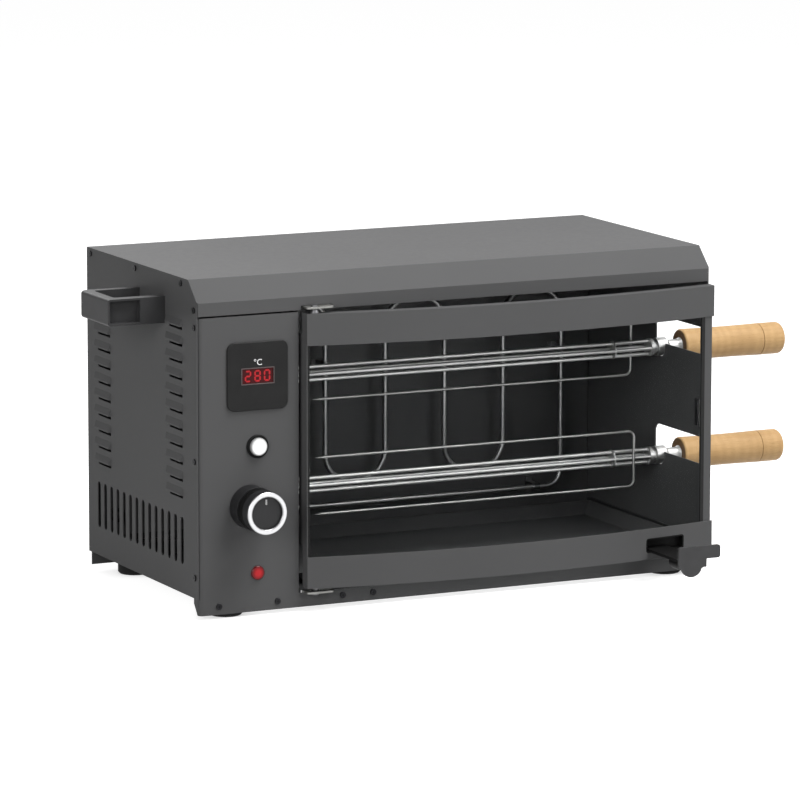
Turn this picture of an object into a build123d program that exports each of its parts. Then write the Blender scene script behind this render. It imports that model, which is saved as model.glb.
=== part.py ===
from build123d import *
import math
import os

os.makedirs("parts", exist_ok=True)

# Twin-spit rotisserie oven.  Millimetres, +Z up, origin at the centre of the
# overall box, on the surface that the feet stand on.  +X runs from the control
# panel to the wooden handles, and the door faces -Y.  "From left" and "from
# front" are distances from the cabinet's left side and front panel; heights are
# above the surface.

# ------------------------------------------------------------------ cabinet
body_width = 600.0
body_depth = 293.0
sheet = 1.2
bend_radius = 5.0
panel_setback = 1.0
side_bottom = 22.0
lid_top = 354.0
slope_depth = 23.0
slope_drop = 22.0
skirt_height = 14.0
lid_flange = 14.0
rear_flange = 12.0
front_flange = 14.0
skirt_bottom = lid_top - slope_drop - skirt_height

# front panel: control panel and the rail under the door, in one sheet
control_width = 114.5
control_top = skirt_bottom - 2.0
rail_bottom = 4.5
rail_top = 19.5
flange_relief = 9.0

# vents in the left side and the back
slot_count = 14
slot_pitch = (body_depth - 70.7) / (slot_count - 1)
slot_width = 8.0
slot_length = 50.0
slots_from_front = body_depth / 2 + 5.7
slots_height = 78.0
back_slots = 7
back_slot_pitch = 13.0
back_slot_width = 5.0
back_vent_drops = (44.0, 69.0)
louvre_length = 42.5
louvre_height = 8.0
louvre_reach = 2.4
louvre_skin = 0.8
louvre_lip = 1.8
louvre_slit = 3.2
louvre_slit_length = 34.0
louvre_pitch = 17.7
louvre_lowest = lid_top - 228.5
front_louvres = 11
rear_louvres = 9
front_louvres_from_front = 59.3
rear_louvres_from_front = body_depth - 42.2

# spits: both axes run along X
spit_from_front = 105.0
lower_spit_height = 112.0
spit_spacing = 120.0
journal_radius = 10.0
seat_clearance = 0.5
notch_floor_rise = 4.5
notch_height = 29.5
notch_corner = 9.0

# carry handle on the left side
handle_reach = 64.5
handle_from_front = 82.0
handle_length = 79.0
handle_height = 28.0
handle_bottom = lid_top - 53.0
handle_bar = 12.0
handle_wall = 2.2
pocket_from_side = 28.0
pocket_depth = 8.0

# base, back and inner walls
foot_radius = 18.0
foot_edge = 2.0
foot_from_side = 40.0
front_feet_from_front = 21.0
rear_feet_from_front = body_depth - 31.0
back_bottom = 7.0
pan_flange = 14.0
cavity_depth = body_depth - 21.0
wall_flange = 14.0
gland_from_left = 30.0
gland_height = 60.0
gland_bore = 4.0
gland_reach = 14.0

# door
door_left = control_width + 4.5
door_right = body_width
door_bottom = 25.5
door_top = skirt_bottom - 3.0
door_rail = 33.3
door_rail_depth = 12.0
door_proud = 12.0
door_bow = 25.0
door_sheet = 1.2
stile_right = door_right - 2.0
stile_left = stile_right - 9.5
stile_back = 0.6
stile_lip = 5.0
stile_tongue_reach = 8.5
glass_inset = 3.0
glass_thickness = 4.0
glass_left = door_left + 1.7
glass_right = stile_left + 7.0
glass_cover = 8.0
seal_left_width = 1.2
seal_right_width = 4.5
pivot_from_left = door_left + 11.0
pivot_from_front = -6.5
pin_radius = 2.5
pin_clearance = 0.05
hinge_plate_thickness = 2.0
hinge_plate_left = control_width + 5.0
hinge_plate_right = hinge_plate_left + 31.0
hinge_plate_nose = 12.0
hinge_plate_tail = 30.0
hinge_foot_right = control_width + 97.5
hinge_notch_side = 2.0
upper_hinge_height = skirt_bottom + 2.0
washer_gap = 0.3
catch_length = 30.0
catch_height = (door_bottom + door_top) / 2 + 4.75
catch_reach = 8.5

# door pull
pull_reach = 100.0
pull_left = body_width - 88.5
pull_width = 50.0
pull_thickness = 3.0
slot_bottom = door_bottom + 7.0
slot_top = door_bottom + 22.8
slot_corner = 3.0
slot_wall = 1.5
pocket_inset = 9.0
thumb_tab_top = slot_top + 3.0
thumb_tab_height = 14.0
tongue_width = 31.0
plate_width = 33.5
plate_bottom = 28.4
lobe_radius = 12.4
lobe_from_pull = 15.6
lobe_bottom = 18.5
boss_radius = 7.5
boss_length = 34.0

# controls
control_centre = 67.3
bezel_width = 68.4
bezel_height = 71.4
bezel_corner = 8.0
bezel_proud = 2.5
bezel_boss = 8.0
bezel_centre_height = control_top - 63.1
window_width = 35.5
window_height = 15.6
window_border = 1.5
knob_from_left = 58.6
knob_height = 116.1
knob_radius = 22.2
knob_skirt_radius = 23.0
knob_reach = 45.0
knob_ring = 2.5
ring_inner = 17.0
knob_skirt = 19.0
knob_groove = 2.0
knob_wall = 2.5
knob_gap = 0.6
knob_shaft_radius = 3.0
knob_shaft_reach = 22.0
button_rise = 0.6
button_height = (bezel_centre_height - bezel_height / 2 + knob_height + knob_skirt_radius) / 2 + button_rise
button_radius = 9.5
button_bezel_radius = 12.2
button_barrel_radius = 10.8
button_barrel_length = 24.0
button_stem_radius = 3.0
button_clearance = 0.15
button_proud = 6.0
button_travel = 3.0
lamp_height = 45.3
lamp_radius = 7.4
lamp_barrel_radius = 5.0
lamp_barrel_length = 18.0
board_thickness = 1.6
board_margin = 3.0
transformer = (19.0, 15.0)
relay = (17.0, 26.0)
component_height = 13.4

# spit drive in the control compartment
gear_teeth = 45
pinion_teeth = 15
gear_face = 8.0
gear_hub = 2.5
gear_from_left = control_width - 14.5
backlash = 0.35
tooth_clearance = 0.4
spindle_radius = 4.0
bush_radius = 7.0
bush_clearance = 0.05
socket_radius = 9.0
socket_length = 22.0
drive_square = 8.0
drive_clearance = 0.15
tip_gap = 0.5
bracket_from_left = gear_from_left - 8.0
bracket_thickness = 2.0
bracket_width = 34.0
motor_radius = 25.0
motor_length = 20.0
motor_offset = 8.0
motor_shaft_radius = 3.5
motor_ear = 7.0
standoff_reach = 46.0
standoff_radius = 4.0
terminal_left = 24.0
terminal_right = 78.0
terminal_front = cavity_depth - 46.0
terminal_back = cavity_depth - 22.0
terminal_height = 16.0

# skewers
hub_radius = 9.8
hub_thickness = 4.0
rod_radius = 2.2
rod_circle = 6.9
rods_right = body_width - 17.0
neck_radius = 6.8
journal_left = body_width - 8.5
journal_right = body_width + 3.5
wood_left = body_width + 22.0
wood_length = 125.5
skewer_right = wood_left + wood_length
tang_radius = 4.0
tang_length = 70.0
wood_radius = 17.5
wood_waist = 17.0
wood_groove = 28.0
wood_shoulder = 2.5
ferrule_radius = 8.5
spacer_from_left = body_width - 62.0
spacer_thickness = 1.5
fork_half_height = 30.5
fork_wire_radius = 1.5
fork_weld = 0.4
fork_bars = (body_width - 39.0, body_width - 33.0)
fork_length = body_width - control_width - 102.5
fork_corner = 7.0
fork_point = 8.0

# heater
heater_from_front = cavity_depth - 17.0
heater_radius = 2.75
heater_first_leg = control_width + 149.5
heater_legs = 5
heater_pitch = (body_width - 45.6 - heater_first_leg) / (heater_legs - 1)
heater_top = lid_top - 74.3
heater_turn = 84.0
heater_bottom = 57.0
heater_straight = 14.6
heater_bend = (heater_pitch - heater_straight) / 2
heater_corner = 18.0
insulator_radius = 6.0
insulator_reach = 4.0
clip_width = 8.0
clip_skin = 1.2
clip_offset = 31.0

# drip tray
tray_left = control_width + 6.5
tray_right = body_width - 10.0
tray_front = 16.0
tray_back = cavity_depth - 22.0
tray_height = 14.0
tray_draft = 45.0

# fasteners
screw_hole = 1.8
screw_radius = 1.75
screw_head = 3.2
screw_head_height = 1.4
screw_length = 7.0
lid_screws_from_front = (41.0, body_depth / 2 + 14.5, body_depth - 11.0)
lid_screw_drop = 6.0
edge_screws_from_front = 7.8
edge_screw_heights = (44.0, lower_spit_height + 54.0, control_top - 10.0)
skirt_screw_rise = 6.0
base_screws_from_front = (60.0, body_depth / 2 + 14.5, body_depth - 31.0)
base_screw_rise = 7.0
rail_screws_from_left = (23.4, control_width - 24.4, control_width + 50.6, control_width + 85.9)
rail_screw_rise = 8.6
handle_screw_rise = 6.5
back_screw_inset = 7.0
back_screw_heights = (gland_height, lid_top - 54.0)

# ------------------------------------------------------------ derived places
left_face = -(handle_reach + skewer_right) / 2 + handle_reach
right_face = left_face + body_width
front_face = -(pull_reach + body_depth + gland_reach) / 2 + pull_reach
back_face = front_face + body_depth
pan_top = side_bottom + sheet
slope_foot = lid_top - slope_drop
inner_back = back_face - 2 * sheet
spit_y = front_face + spit_from_front
spit_heights = (lower_spit_height, lower_spit_height + spit_spacing)
pinion_height = lower_spit_height + spit_spacing / 2
gear_module = spit_spacing / (gear_teeth + pinion_teeth)
seat_radius = journal_radius + seat_clearance
cavity_left = control_width + sheet
grip_front = front_face + handle_from_front
grip_back = grip_front + handle_length


def from_left(distance):
    return left_face + distance


def from_front(distance):
    return front_face + distance


def across(x):
    """A plane facing +X; its sketch axes are Y and Z."""
    return Plane.YZ.offset(x)


def upright(y):
    """A plane facing -Y, towards the user; its sketch axes are X and Z."""
    return Plane.XZ.offset(-y)


def level(z):
    """A plane facing +Z; its sketch axes are X and Y."""
    return Plane.XY.offset(z)


def on_axis(x, height):
    """A plane facing +X whose origin is on a spit's axis at x."""
    return Plane(origin=(x, spit_y, height), x_dir=(0, 1, 0), z_dir=(1, 0, 0))


def rectangle(left, right, low, high, mode=Mode.ADD):
    """A rectangle in the sketch, given by its edges."""
    with Locations(((left + right) / 2, (low + high) / 2)):
        Rectangle(right - left, high - low, mode=mode)


def finish(part, name):
    part.part.label = name
    export_step(part.part, f"parts/{name}.step")


# ---------------------------------------------------------------- fasteners
with BuildPart() as screw:
    Cylinder(screw_head, screw_head_height, align=(Align.CENTER, Align.CENTER, Align.MIN))
    with BuildSketch(level(0)):
        Circle(screw_radius)
    extrude(amount=-screw_length)


def screws(name, planes):
    """One node of identical screws, each with its head standing on its plane."""
    with BuildPart() as group:
        with Locations(*[plane.location for plane in planes]):
            add(screw.part)
    finish(group, name)


edge_y = from_front(edge_screws_from_front)
base_screw_height = side_bottom + base_screw_rise
lid_screw_spots = [(from_front(d), lid_top - lid_screw_drop) for d in lid_screws_from_front]
edge_screw_spots = [(edge_y, height) for height in edge_screw_heights]
skirt_screw_spot = (edge_y, skirt_bottom + skirt_screw_rise)
base_screw_spots = [(from_front(d), base_screw_height) for d in base_screws_from_front]
left_screw_spots = lid_screw_spots + edge_screw_spots + [skirt_screw_spot]
right_screw_spots = lid_screw_spots + base_screw_spots + [skirt_screw_spot]
rail_screw_spots = [(from_left(d), rail_bottom + rail_screw_rise) for d in rail_screws_from_left]
handle_screw_spots = [
    (y, handle_bottom + handle_height / 2 + rise)
    for y in (grip_front + handle_bar / 2, grip_back - handle_bar / 2)
    for rise in (-handle_screw_rise, handle_screw_rise)
]
back_side_spots = [
    (x, height)
    for x in (from_left(back_screw_inset), right_face - back_screw_inset)
    for height in back_screw_heights
]
back_lid_spots = [(from_left(body_width * share), lid_top - back_screw_inset) for share in (0.25, 0.75)]
back_screw_spots = back_side_spots + back_lid_spots


# ------------------------------------------------------------- side panels
def side_outline():
    """The side's outline in the Y-Z plane: a rectangle with a sloped front top corner."""
    rise = slope_drop * panel_setback / slope_depth
    with BuildLine() as outline:
        Polyline(
            (from_front(panel_setback), side_bottom),
            (back_face, side_bottom),
            (back_face, lid_top),
            (from_front(slope_depth), lid_top),
            (from_front(panel_setback), slope_foot + rise),
            close=True,
        )
    make_face(outline.line.edges())


def rear_return(outer_x, inner_x):
    """The flange that turns in behind the back panel, with its two screw holes."""
    with BuildSketch(upright(back_face)) as flange:
        rectangle(min(outer_x, inner_x), max(outer_x, inner_x), side_bottom, lid_top - lid_flange - sheet)
        with Locations(*back_screw_spots):
            Circle(screw_hole, mode=Mode.SUBTRACT)
    extrude(flange.sketch, amount=sheet)


louvre_rows = [louvre_lowest + louvre_pitch * row for row in range(front_louvres)]
louvre_spots = [(from_front(front_louvres_from_front), height) for height in louvre_rows]
louvre_spots += [(from_front(rear_louvres_from_front), height) for height in louvre_rows[:rear_louvres]]


def louvre_form(inset, mode=Mode.ADD):
    """A pressed hood: wide where it leaves the panel, narrow at its open lower lip."""
    reach = louvre_reach - inset
    height = louvre_height - inset
    lip = louvre_lip - inset
    with BuildSketch(Plane.YZ) as root:
        with Locations((0, height / 2)):
            Rectangle(louvre_length - 2 * inset, height)
    with BuildSketch(Plane.YZ.offset(-reach)) as mouth:
        with Locations((0, lip / 2)):
            Rectangle(louvre_length - 2 * inset - 2 * reach, lip)
    loft([root.sketch, mouth.sketch], ruled=True, mode=mode)


with BuildPart() as louvre_hood:
    louvre_form(0)
    louvre_form(louvre_skin, mode=Mode.SUBTRACT)

with BuildPart() as left_side_panel:
    with BuildSketch(across(left_face)):
        side_outline()
        with Locations((from_front(slots_from_front), slots_height)):
            with GridLocations(slot_pitch, 0, slot_count, 1):
                SlotOverall(slot_length, slot_width, rotation=90, mode=Mode.SUBTRACT)
        with Locations(*left_screw_spots, *handle_screw_spots):
            Circle(screw_hole, mode=Mode.SUBTRACT)
        # each louvre is cut open behind its hood and for a slit below the lip, flush with its front end
        with Locations(*[(y, z + (louvre_height - louvre_skin) / 2) for y, z in louvre_spots]):
            Rectangle(louvre_length - 2 * louvre_skin, louvre_height - louvre_skin, mode=Mode.SUBTRACT)
        slit_shift = (louvre_length - louvre_slit_length) / 2
        with Locations(*[(y - slit_shift, z - louvre_slit / 2) for y, z in louvre_spots]):
            Rectangle(louvre_slit_length, louvre_slit, mode=Mode.SUBTRACT)
    extrude(amount=sheet)
    rear_return(left_face, left_face + rear_flange)
    with Locations(*[(left_face, y, z) for y, z in louvre_spots]):
        add(louvre_hood.part)
finish(left_side_panel, "left_side_panel")

with BuildPart() as right_side_panel:
    with BuildSketch(across(right_face - sheet)):
        side_outline()
        with Locations(*right_screw_spots):
            Circle(screw_hole, mode=Mode.SUBTRACT)
    extrude(amount=sheet)
    # notches open to the door side, each ending in the half-round seat of a skewer's journal
    for height in spit_heights:
        with BuildSketch(across(right_face - sheet)) as notch:
            floor = height + notch_floor_rise
            rectangle(front_face - sheet, spit_y + seat_radius, floor, floor + notch_height)
            rear_top = notch.vertices().group_by(Axis.X)[-1].sort_by(Axis.Y)[-1]
            fillet(rear_top, notch_corner)
            rectangle(spit_y - seat_radius, spit_y + seat_radius, height, floor)
            with Locations((spit_y, height)):
                Circle(seat_radius)
        extrude(amount=sheet, mode=Mode.SUBTRACT)
    rear_return(right_face, right_face - rear_flange)
finish(right_side_panel, "right_side_panel")

# ----------------------------------------------------------------------- lid
with BuildPart() as lid:
    with BuildSketch(across(left_face + sheet)):
        with BuildLine():
            Polyline(
                (front_face, skirt_bottom),
                (front_face, slope_foot),
                (from_front(slope_depth), lid_top),
                (back_face, lid_top),
                (back_face, lid_top - lid_flange),
                (from_front(slope_depth), lid_top - lid_flange),
                (from_front(front_flange), skirt_bottom),
                close=True,
            )
        make_face()
    extrude(amount=body_width - 2 * sheet)
    underside = lid.faces().filter_by(lambda face: face.normal_at().Z < -0.1)
    offset(amount=-sheet, openings=underside, kind=Kind.INTERSECTION)
    with BuildSketch(across(left_face)):
        with Locations(*lid_screw_spots, skirt_screw_spot):
            Circle(screw_hole)
    extrude(amount=body_width, mode=Mode.SUBTRACT)
    with BuildSketch(upright(back_face)):
        with Locations(*back_lid_spots):
            Circle(screw_hole)
    extrude(amount=sheet, mode=Mode.SUBTRACT)
    # notch in the skirt where the upper hinge plate comes out
    with BuildSketch(upright(front_face + sheet)):
        rectangle(
            from_left(hinge_plate_left - hinge_notch_side),
            from_left(hinge_plate_right + hinge_notch_side),
            skirt_bottom,
            upper_hinge_height + hinge_plate_thickness + 0.5,
        )
    extrude(amount=sheet, mode=Mode.SUBTRACT)
finish(lid, "lid")

# -------------------------------------------------------------- front panel
display_opening = (bezel_width - 14.0, bezel_height - 22.0)
centre_x = from_left(control_centre)
knob_x = from_left(knob_from_left)
with BuildPart() as front_panel:
    with BuildSketch(level(rail_bottom)):
        rectangle(left_face + sheet, from_left(control_width), front_face, from_front(front_flange))
    extrude(amount=control_top - rail_bottom)
    fillet(front_panel.edges().filter_by(Axis.Z).sort_by(Axis.Y)[:2].sort_by(Axis.X)[0], bend_radius)
    open_faces = [front_panel.faces().sort_by(Axis.Y)[-1], front_panel.faces().sort_by(Axis.Z)[0]]
    offset(amount=-sheet, openings=open_faces, kind=Kind.INTERSECTION)
    # the rail runs on below the door and turns back at the right
    with BuildSketch(level(rail_bottom)) as rail:
        rectangle(
            from_left(control_width - bend_radius),
            right_face - sheet,
            front_face,
            from_front(front_flange),
        )
        fillet(rail.vertices().group_by(Axis.X)[-1].sort_by(Axis.Y)[0], bend_radius)
        rectangle(
            from_left(control_width - bend_radius),
            right_face - 2 * sheet - bend_radius,
            from_front(sheet),
            from_front(front_flange),
            mode=Mode.SUBTRACT,
        )
        with BuildSketch(mode=Mode.SUBTRACT) as rail_inside:
            rectangle(
                right_face - 3 * sheet - bend_radius,
                right_face - 2 * sheet,
                from_front(sheet),
                from_front(front_flange),
            )
            fillet(rail_inside.vertices().group_by(Axis.X)[-1].sort_by(Axis.Y)[0], bend_radius - sheet)
    extrude(amount=rail_top - rail_bottom)
    # openings for the display, button, thermostat and lamp, and the rail's screws
    with BuildSketch(upright(front_face)):
        with Locations((centre_x, bezel_centre_height)):
            Rectangle(*display_opening)
        with Locations((centre_x, button_height)):
            Circle(button_barrel_radius + button_clearance)
        with Locations((knob_x, knob_height)):
            Circle(knob_shaft_radius + 1.5)
        with Locations((centre_x, lamp_height)):
            Circle(lamp_barrel_radius)
        with Locations(*rail_screw_spots):
            Circle(screw_hole)
    extrude(amount=-sheet, mode=Mode.SUBTRACT)
    with BuildSketch(across(left_face)):
        with Locations(*edge_screw_spots):
            Circle(screw_hole)
        # the lower end of the side flange is cut back at a slant
        with BuildLine():
            Polyline(
                (from_front(front_flange - flange_relief), rail_bottom),
                (from_front(front_flange), rail_bottom),
                (from_front(front_flange), rail_bottom + 1.3 * flange_relief),
                close=True,
            )
        make_face()
    extrude(amount=body_width, mode=Mode.SUBTRACT)
    # the flange beside the door stops above the pan
    with BuildSketch(level(rail_bottom)):
        rectangle(
            from_left(control_width - sheet),
            from_left(control_width),
            from_front(sheet),
            from_front(front_flange),
        )
    extrude(amount=pan_top - rail_bottom, mode=Mode.SUBTRACT)
finish(front_panel, "front_panel")

# ---------------------------------------------------------------------- base
pan_left = from_left(2 * sheet)
pan_right = right_face - sheet
foot_spots = [
    (from_left(x), from_front(y))
    for x in (foot_from_side, body_width - foot_from_side)
    for y in (front_feet_from_front, rear_feet_from_front)
]
with BuildPart() as base_pan:
    with BuildSketch(level(side_bottom)) as pan_floor:
        rectangle(pan_left, pan_right, from_front(sheet), inner_back)
        chamfer(pan_floor.vertices().group_by(Axis.Y)[0], bend_radius + sheet)
        with Locations(*foot_spots):
            Circle(screw_hole, mode=Mode.SUBTRACT)
    extrude(amount=sheet)
    # side and rear flanges stand up, the front leg hangs down behind the rail
    with BuildSketch(level(pan_top)):
        rectangle(pan_left, pan_left + sheet, from_front(front_flange), inner_back)
        rectangle(pan_right - sheet, pan_right, from_front(front_flange), inner_back)
        rectangle(pan_left + sheet, pan_right - sheet, inner_back - sheet, inner_back)
    extrude(amount=pan_flange)
    with BuildSketch(upright(from_front(sheet))):
        rectangle(
            pan_left + bend_radius + sheet,
            pan_right - bend_radius - sheet,
            rail_bottom + sheet,
            side_bottom,
        )
        rectangle(
            from_left(hinge_plate_left - hinge_notch_side),
            from_left(hinge_plate_right + hinge_notch_side),
            rail_top - 0.5,
            side_bottom,
            mode=Mode.SUBTRACT,
        )
        with Locations(*rail_screw_spots):
            Circle(screw_hole, mode=Mode.SUBTRACT)
    extrude(amount=-sheet)
    with BuildSketch(across(pan_right - sheet)):
        with Locations(*base_screw_spots):
            Circle(screw_hole)
    extrude(amount=sheet, mode=Mode.SUBTRACT)
finish(base_pan, "base_pan")

with BuildPart() as feet:
    with BuildSketch(level(0)):
        with Locations(*foot_spots):
            Circle(foot_radius)
    extrude(amount=side_bottom)
    chamfer(feet.edges().group_by(Axis.Z)[0], foot_edge)
    with BuildSketch(level(0)):
        with Locations(*foot_spots):
            Circle(screw_head + 1.0)
    extrude(amount=side_bottom / 2, mode=Mode.SUBTRACT)
finish(feet, "feet")

# ---------------------------------------------------- back and inner walls
back_top = lid_top - sheet - 1.0
back_vents = [
    (from_left(width / 2), lid_top - drop)
    for width, drop in zip((control_width, body_width), back_vent_drops)
]
gland_spot = (from_left(gland_from_left), gland_height)
with BuildPart() as back_panel:
    with BuildSketch(upright(inner_back + sheet)):
        rectangle(pan_left, pan_right - sheet, back_bottom, back_top)
        with Locations(*back_vents):
            with GridLocations(back_slot_pitch, 0, back_slots, 1):
                SlotOverall(slot_length, back_slot_width, rotation=90, mode=Mode.SUBTRACT)
        with Locations(*back_screw_spots):
            Circle(screw_hole, mode=Mode.SUBTRACT)
        with Locations(gland_spot):
            Circle(gland_bore + 4.0, mode=Mode.SUBTRACT)
    extrude(amount=sheet)
finish(back_panel, "back_panel")

with BuildPart() as cord_gland:
    with BuildSketch(upright(inner_back + sheet)):
        with Locations(gland_spot):
            Circle(gland_bore + 7.0)
    extrude(amount=-gland_reach - sheet)
    chamfer(cord_gland.edges().group_by(Axis.Y)[-1], 2.0)
    with BuildSketch(upright(inner_back + sheet)):
        with Locations(gland_spot):
            Circle(gland_bore + 4.0)
    extrude(amount=8.0)
    with BuildSketch(upright(back_face + gland_reach)):
        with Locations(gland_spot):
            Circle(gland_bore)
    extrude(amount=gland_reach + sheet + 10.0, mode=Mode.SUBTRACT)
finish(cord_gland, "cord_gland")

heater_y = from_front(heater_from_front)
partition_x = from_left(control_width)
heater_ends = [(heater_y, heater_top), (heater_y, heater_bottom)]
with BuildPart() as partition_wall:
    with BuildSketch(across(partition_x)):
        with BuildLine():
            Polyline(
                (from_front(2 * sheet), pan_top),
                (inner_back - sheet, pan_top),
                (inner_back - sheet, lid_top - sheet),
                (from_front(slope_depth + sheet), lid_top - sheet),
                (from_front(2 * sheet), slope_foot - sheet),
                close=True,
            )
        make_face()
        with Locations(*[(spit_y, height) for height in spit_heights]):
            Circle(bush_radius, mode=Mode.SUBTRACT)
        with Locations(*[(spit_y + side * standoff_reach, pinion_height) for side in (-1, 1)]):
            Circle(standoff_radius - 1.0, mode=Mode.SUBTRACT)
        with Locations(*heater_ends):
            Circle(insulator_radius, mode=Mode.SUBTRACT)
    extrude(amount=sheet)
    # feet of the wall: one flange on the pan, one on the back panel
    with BuildSketch(level(pan_top)):
        rectangle(partition_x - wall_flange, partition_x, from_front(front_flange), inner_back - sheet)
    extrude(amount=sheet)
    with BuildSketch(upright(inner_back)):
        rectangle(partition_x - wall_flange, partition_x + sheet, pan_top + pan_flange, back_top)
    extrude(amount=sheet)
finish(partition_wall, "partition_wall")

wall_left = from_left(cavity_left)
wall_right = pan_right - sheet
with BuildPart() as cavity_back_wall:
    with BuildSketch(upright(from_front(cavity_depth))):
        rectangle(wall_left, wall_right, pan_top, lid_top - sheet)
    extrude(amount=-wall_flange)
    offset(amount=-sheet, openings=cavity_back_wall.faces().sort_by(Axis.Y)[-1], kind=Kind.INTERSECTION)
    with BuildSketch(across(wall_right - sheet)):
        with Locations(lid_screw_spots[-1]):
            Circle(screw_hole)
    extrude(amount=sheet, mode=Mode.SUBTRACT)
finish(cavity_back_wall, "cavity_back_wall")

# -------------------------------------------------------------------- heater
first_leg = from_left(heater_first_leg)
last_leg = first_leg + heater_pitch * (heater_legs - 1)
heater_start = from_left(control_width - 18.0)
with BuildPart() as heating_element:
    turns = [(heater_start, heater_top), (first_leg, heater_top)]
    radii = [heater_corner]
    for leg in range(heater_legs - 1):
        end = heater_turn if leg % 2 == 0 else heater_top
        turns += [(first_leg + heater_pitch * leg, end), (first_leg + heater_pitch * (leg + 1), end)]
        radii += [heater_bend, heater_bend]
    turns += [(last_leg, heater_bottom), (heater_start, heater_bottom)]
    radii += [heater_corner]
    with BuildLine(upright(heater_y)) as heater_path:
        FilletPolyline(*turns, radius=radii)
    with BuildSketch(Plane(origin=heater_path.line @ 0, z_dir=heater_path.line % 0)):
        Circle(heater_radius)
    sweep()
finish(heating_element, "heating_element")

with BuildPart() as heater_insulators:
    with BuildSketch(across(partition_x - insulator_reach)):
        with Locations(*heater_ends):
            Circle(insulator_radius)
        with Locations(*heater_ends):
            Circle(heater_radius + bush_clearance, mode=Mode.SUBTRACT)
    extrude(amount=2 * insulator_reach + sheet)
finish(heater_insulators, "heater_insulators")

clip_height = (heater_top + heater_turn) / 2 + clip_offset
clip_reach = cavity_depth - heater_from_front
clip_planes = [
    Plane(origin=(leg, heater_y, clip_height), x_dir=(1, 0, 0), z_dir=(0, 0, 1))
    for leg in (first_leg, last_leg)
]
lower_clip = (last_leg - clip_offset, heater_y, heater_bottom)
clip_planes += [Plane(origin=lower_clip, x_dir=(0, 0, -1), z_dir=(1, 0, 0))]
with BuildPart() as heater_clips:
    for plane in clip_planes:
        with BuildSketch(plane) as clip:
            with Locations((0, clip_reach / 2)):
                Rectangle(2 * (heater_radius + clip_skin), clip_reach)
            with Locations((0, clip_reach - clip_skin / 2)):
                Rectangle(6 * heater_radius, clip_skin)
            Circle(heater_radius + clip_skin)
            Circle(heater_radius + bush_clearance, mode=Mode.SUBTRACT)
        extrude(clip.sketch, amount=clip_width / 2, both=True)
finish(heater_clips, "heater_clips")

# ----------------------------------------------------------------- tray
with BuildPart() as drip_tray:
    with BuildSketch(level(pan_top)):
        rectangle(
            from_left(tray_left) + tray_height,
            from_left(tray_right) - tray_height,
            from_front(tray_front) + tray_height,
            from_front(tray_back) - tray_height,
        )
    extrude(amount=tray_height, taper=-tray_draft)
    offset(amount=-sheet, openings=drip_tray.faces().sort_by(Axis.Z)[-1], kind=Kind.INTERSECTION)
finish(drip_tray, "drip_tray")

# -------------------------------------------------------------- carry handle
with BuildPart() as carry_handle:
    grip_left = left_face - handle_reach
    with BuildSketch(level(handle_bottom)) as strap:
        rectangle(grip_left, left_face, grip_front, grip_back)
        rectangle(
            grip_left + handle_bar,
            left_face,
            grip_front + handle_bar,
            grip_back - handle_bar,
            mode=Mode.SUBTRACT,
        )
        inner_corners = strap.vertices().filter_by_position(Axis.X, grip_left + 1.0, left_face - 1.0)
        fillet(inner_corners, handle_bar / 3)
        fillet(strap.vertices().group_by(Axis.X)[0].sort_by(Axis.Y)[-1], 0.75 * handle_bar)
    extrude(amount=handle_height)
    fillet(carry_handle.edges().group_by(Axis.X)[0].filter_by(Axis.Y), handle_bar / 4)
    # the front arm is hollow from the front, with a rim all round
    with BuildSketch(upright(grip_front)):
        rectangle(
            grip_left + handle_wall,
            left_face - pocket_from_side,
            handle_bottom + handle_wall,
            handle_bottom + handle_height - handle_wall,
        )
    extrude(amount=-pocket_depth, mode=Mode.SUBTRACT)
    with BuildSketch(across(left_face)):
        with Locations(*handle_screw_spots):
            Circle(screw_hole)
    extrude(amount=sheet - screw_length - 1.0, mode=Mode.SUBTRACT)
finish(carry_handle, "carry_handle")

# ------------------------------------------------------------------ controls
bezel_chamfer = 0.6
boss_clearance = 0.2
window_frame = (window_width + 2 * window_border, window_height + 2 * window_border)
with BuildPart() as display_bezel:
    with BuildSketch(upright(front_face)):
        with Locations((centre_x, bezel_centre_height)):
            RectangleRounded(bezel_width, bezel_height, bezel_corner)
        with Locations((centre_x, bezel_centre_height)):
            Rectangle(window_width, window_height, mode=Mode.SUBTRACT)
    extrude(amount=bezel_proud)
    window_centre = Vector(centre_x, front_face - bezel_proud, bezel_centre_height)
    outer_edges = display_bezel.edges().group_by(Axis.Y)[0].filter_by(
        lambda edge: (edge.center() - window_centre).length > window_width / 2 + 1.0
    )
    chamfer(outer_edges, bezel_chamfer)
    # a hollow boss behind the panel carries the window and the board
    with BuildSketch(upright(front_face)):
        with Locations((centre_x, bezel_centre_height)):
            Rectangle(display_opening[0] - 2 * boss_clearance, display_opening[1] - 2 * boss_clearance)
        with Locations((centre_x, bezel_centre_height)):
            Rectangle(*window_frame, mode=Mode.SUBTRACT)
    extrude(amount=-bezel_boss)
finish(display_bezel, "display_bezel")

with BuildPart() as display_window:
    with BuildSketch(upright(front_face)):
        with Locations((centre_x, bezel_centre_height)):
            Rectangle(*window_frame)
    extrude(amount=-2.0)
    with BuildSketch(upright(front_face)):
        with Locations((centre_x, bezel_centre_height)):
            Rectangle(window_width, window_height)
    extrude(amount=bezel_proud - 1.0)
finish(display_window, "display_window")

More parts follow.
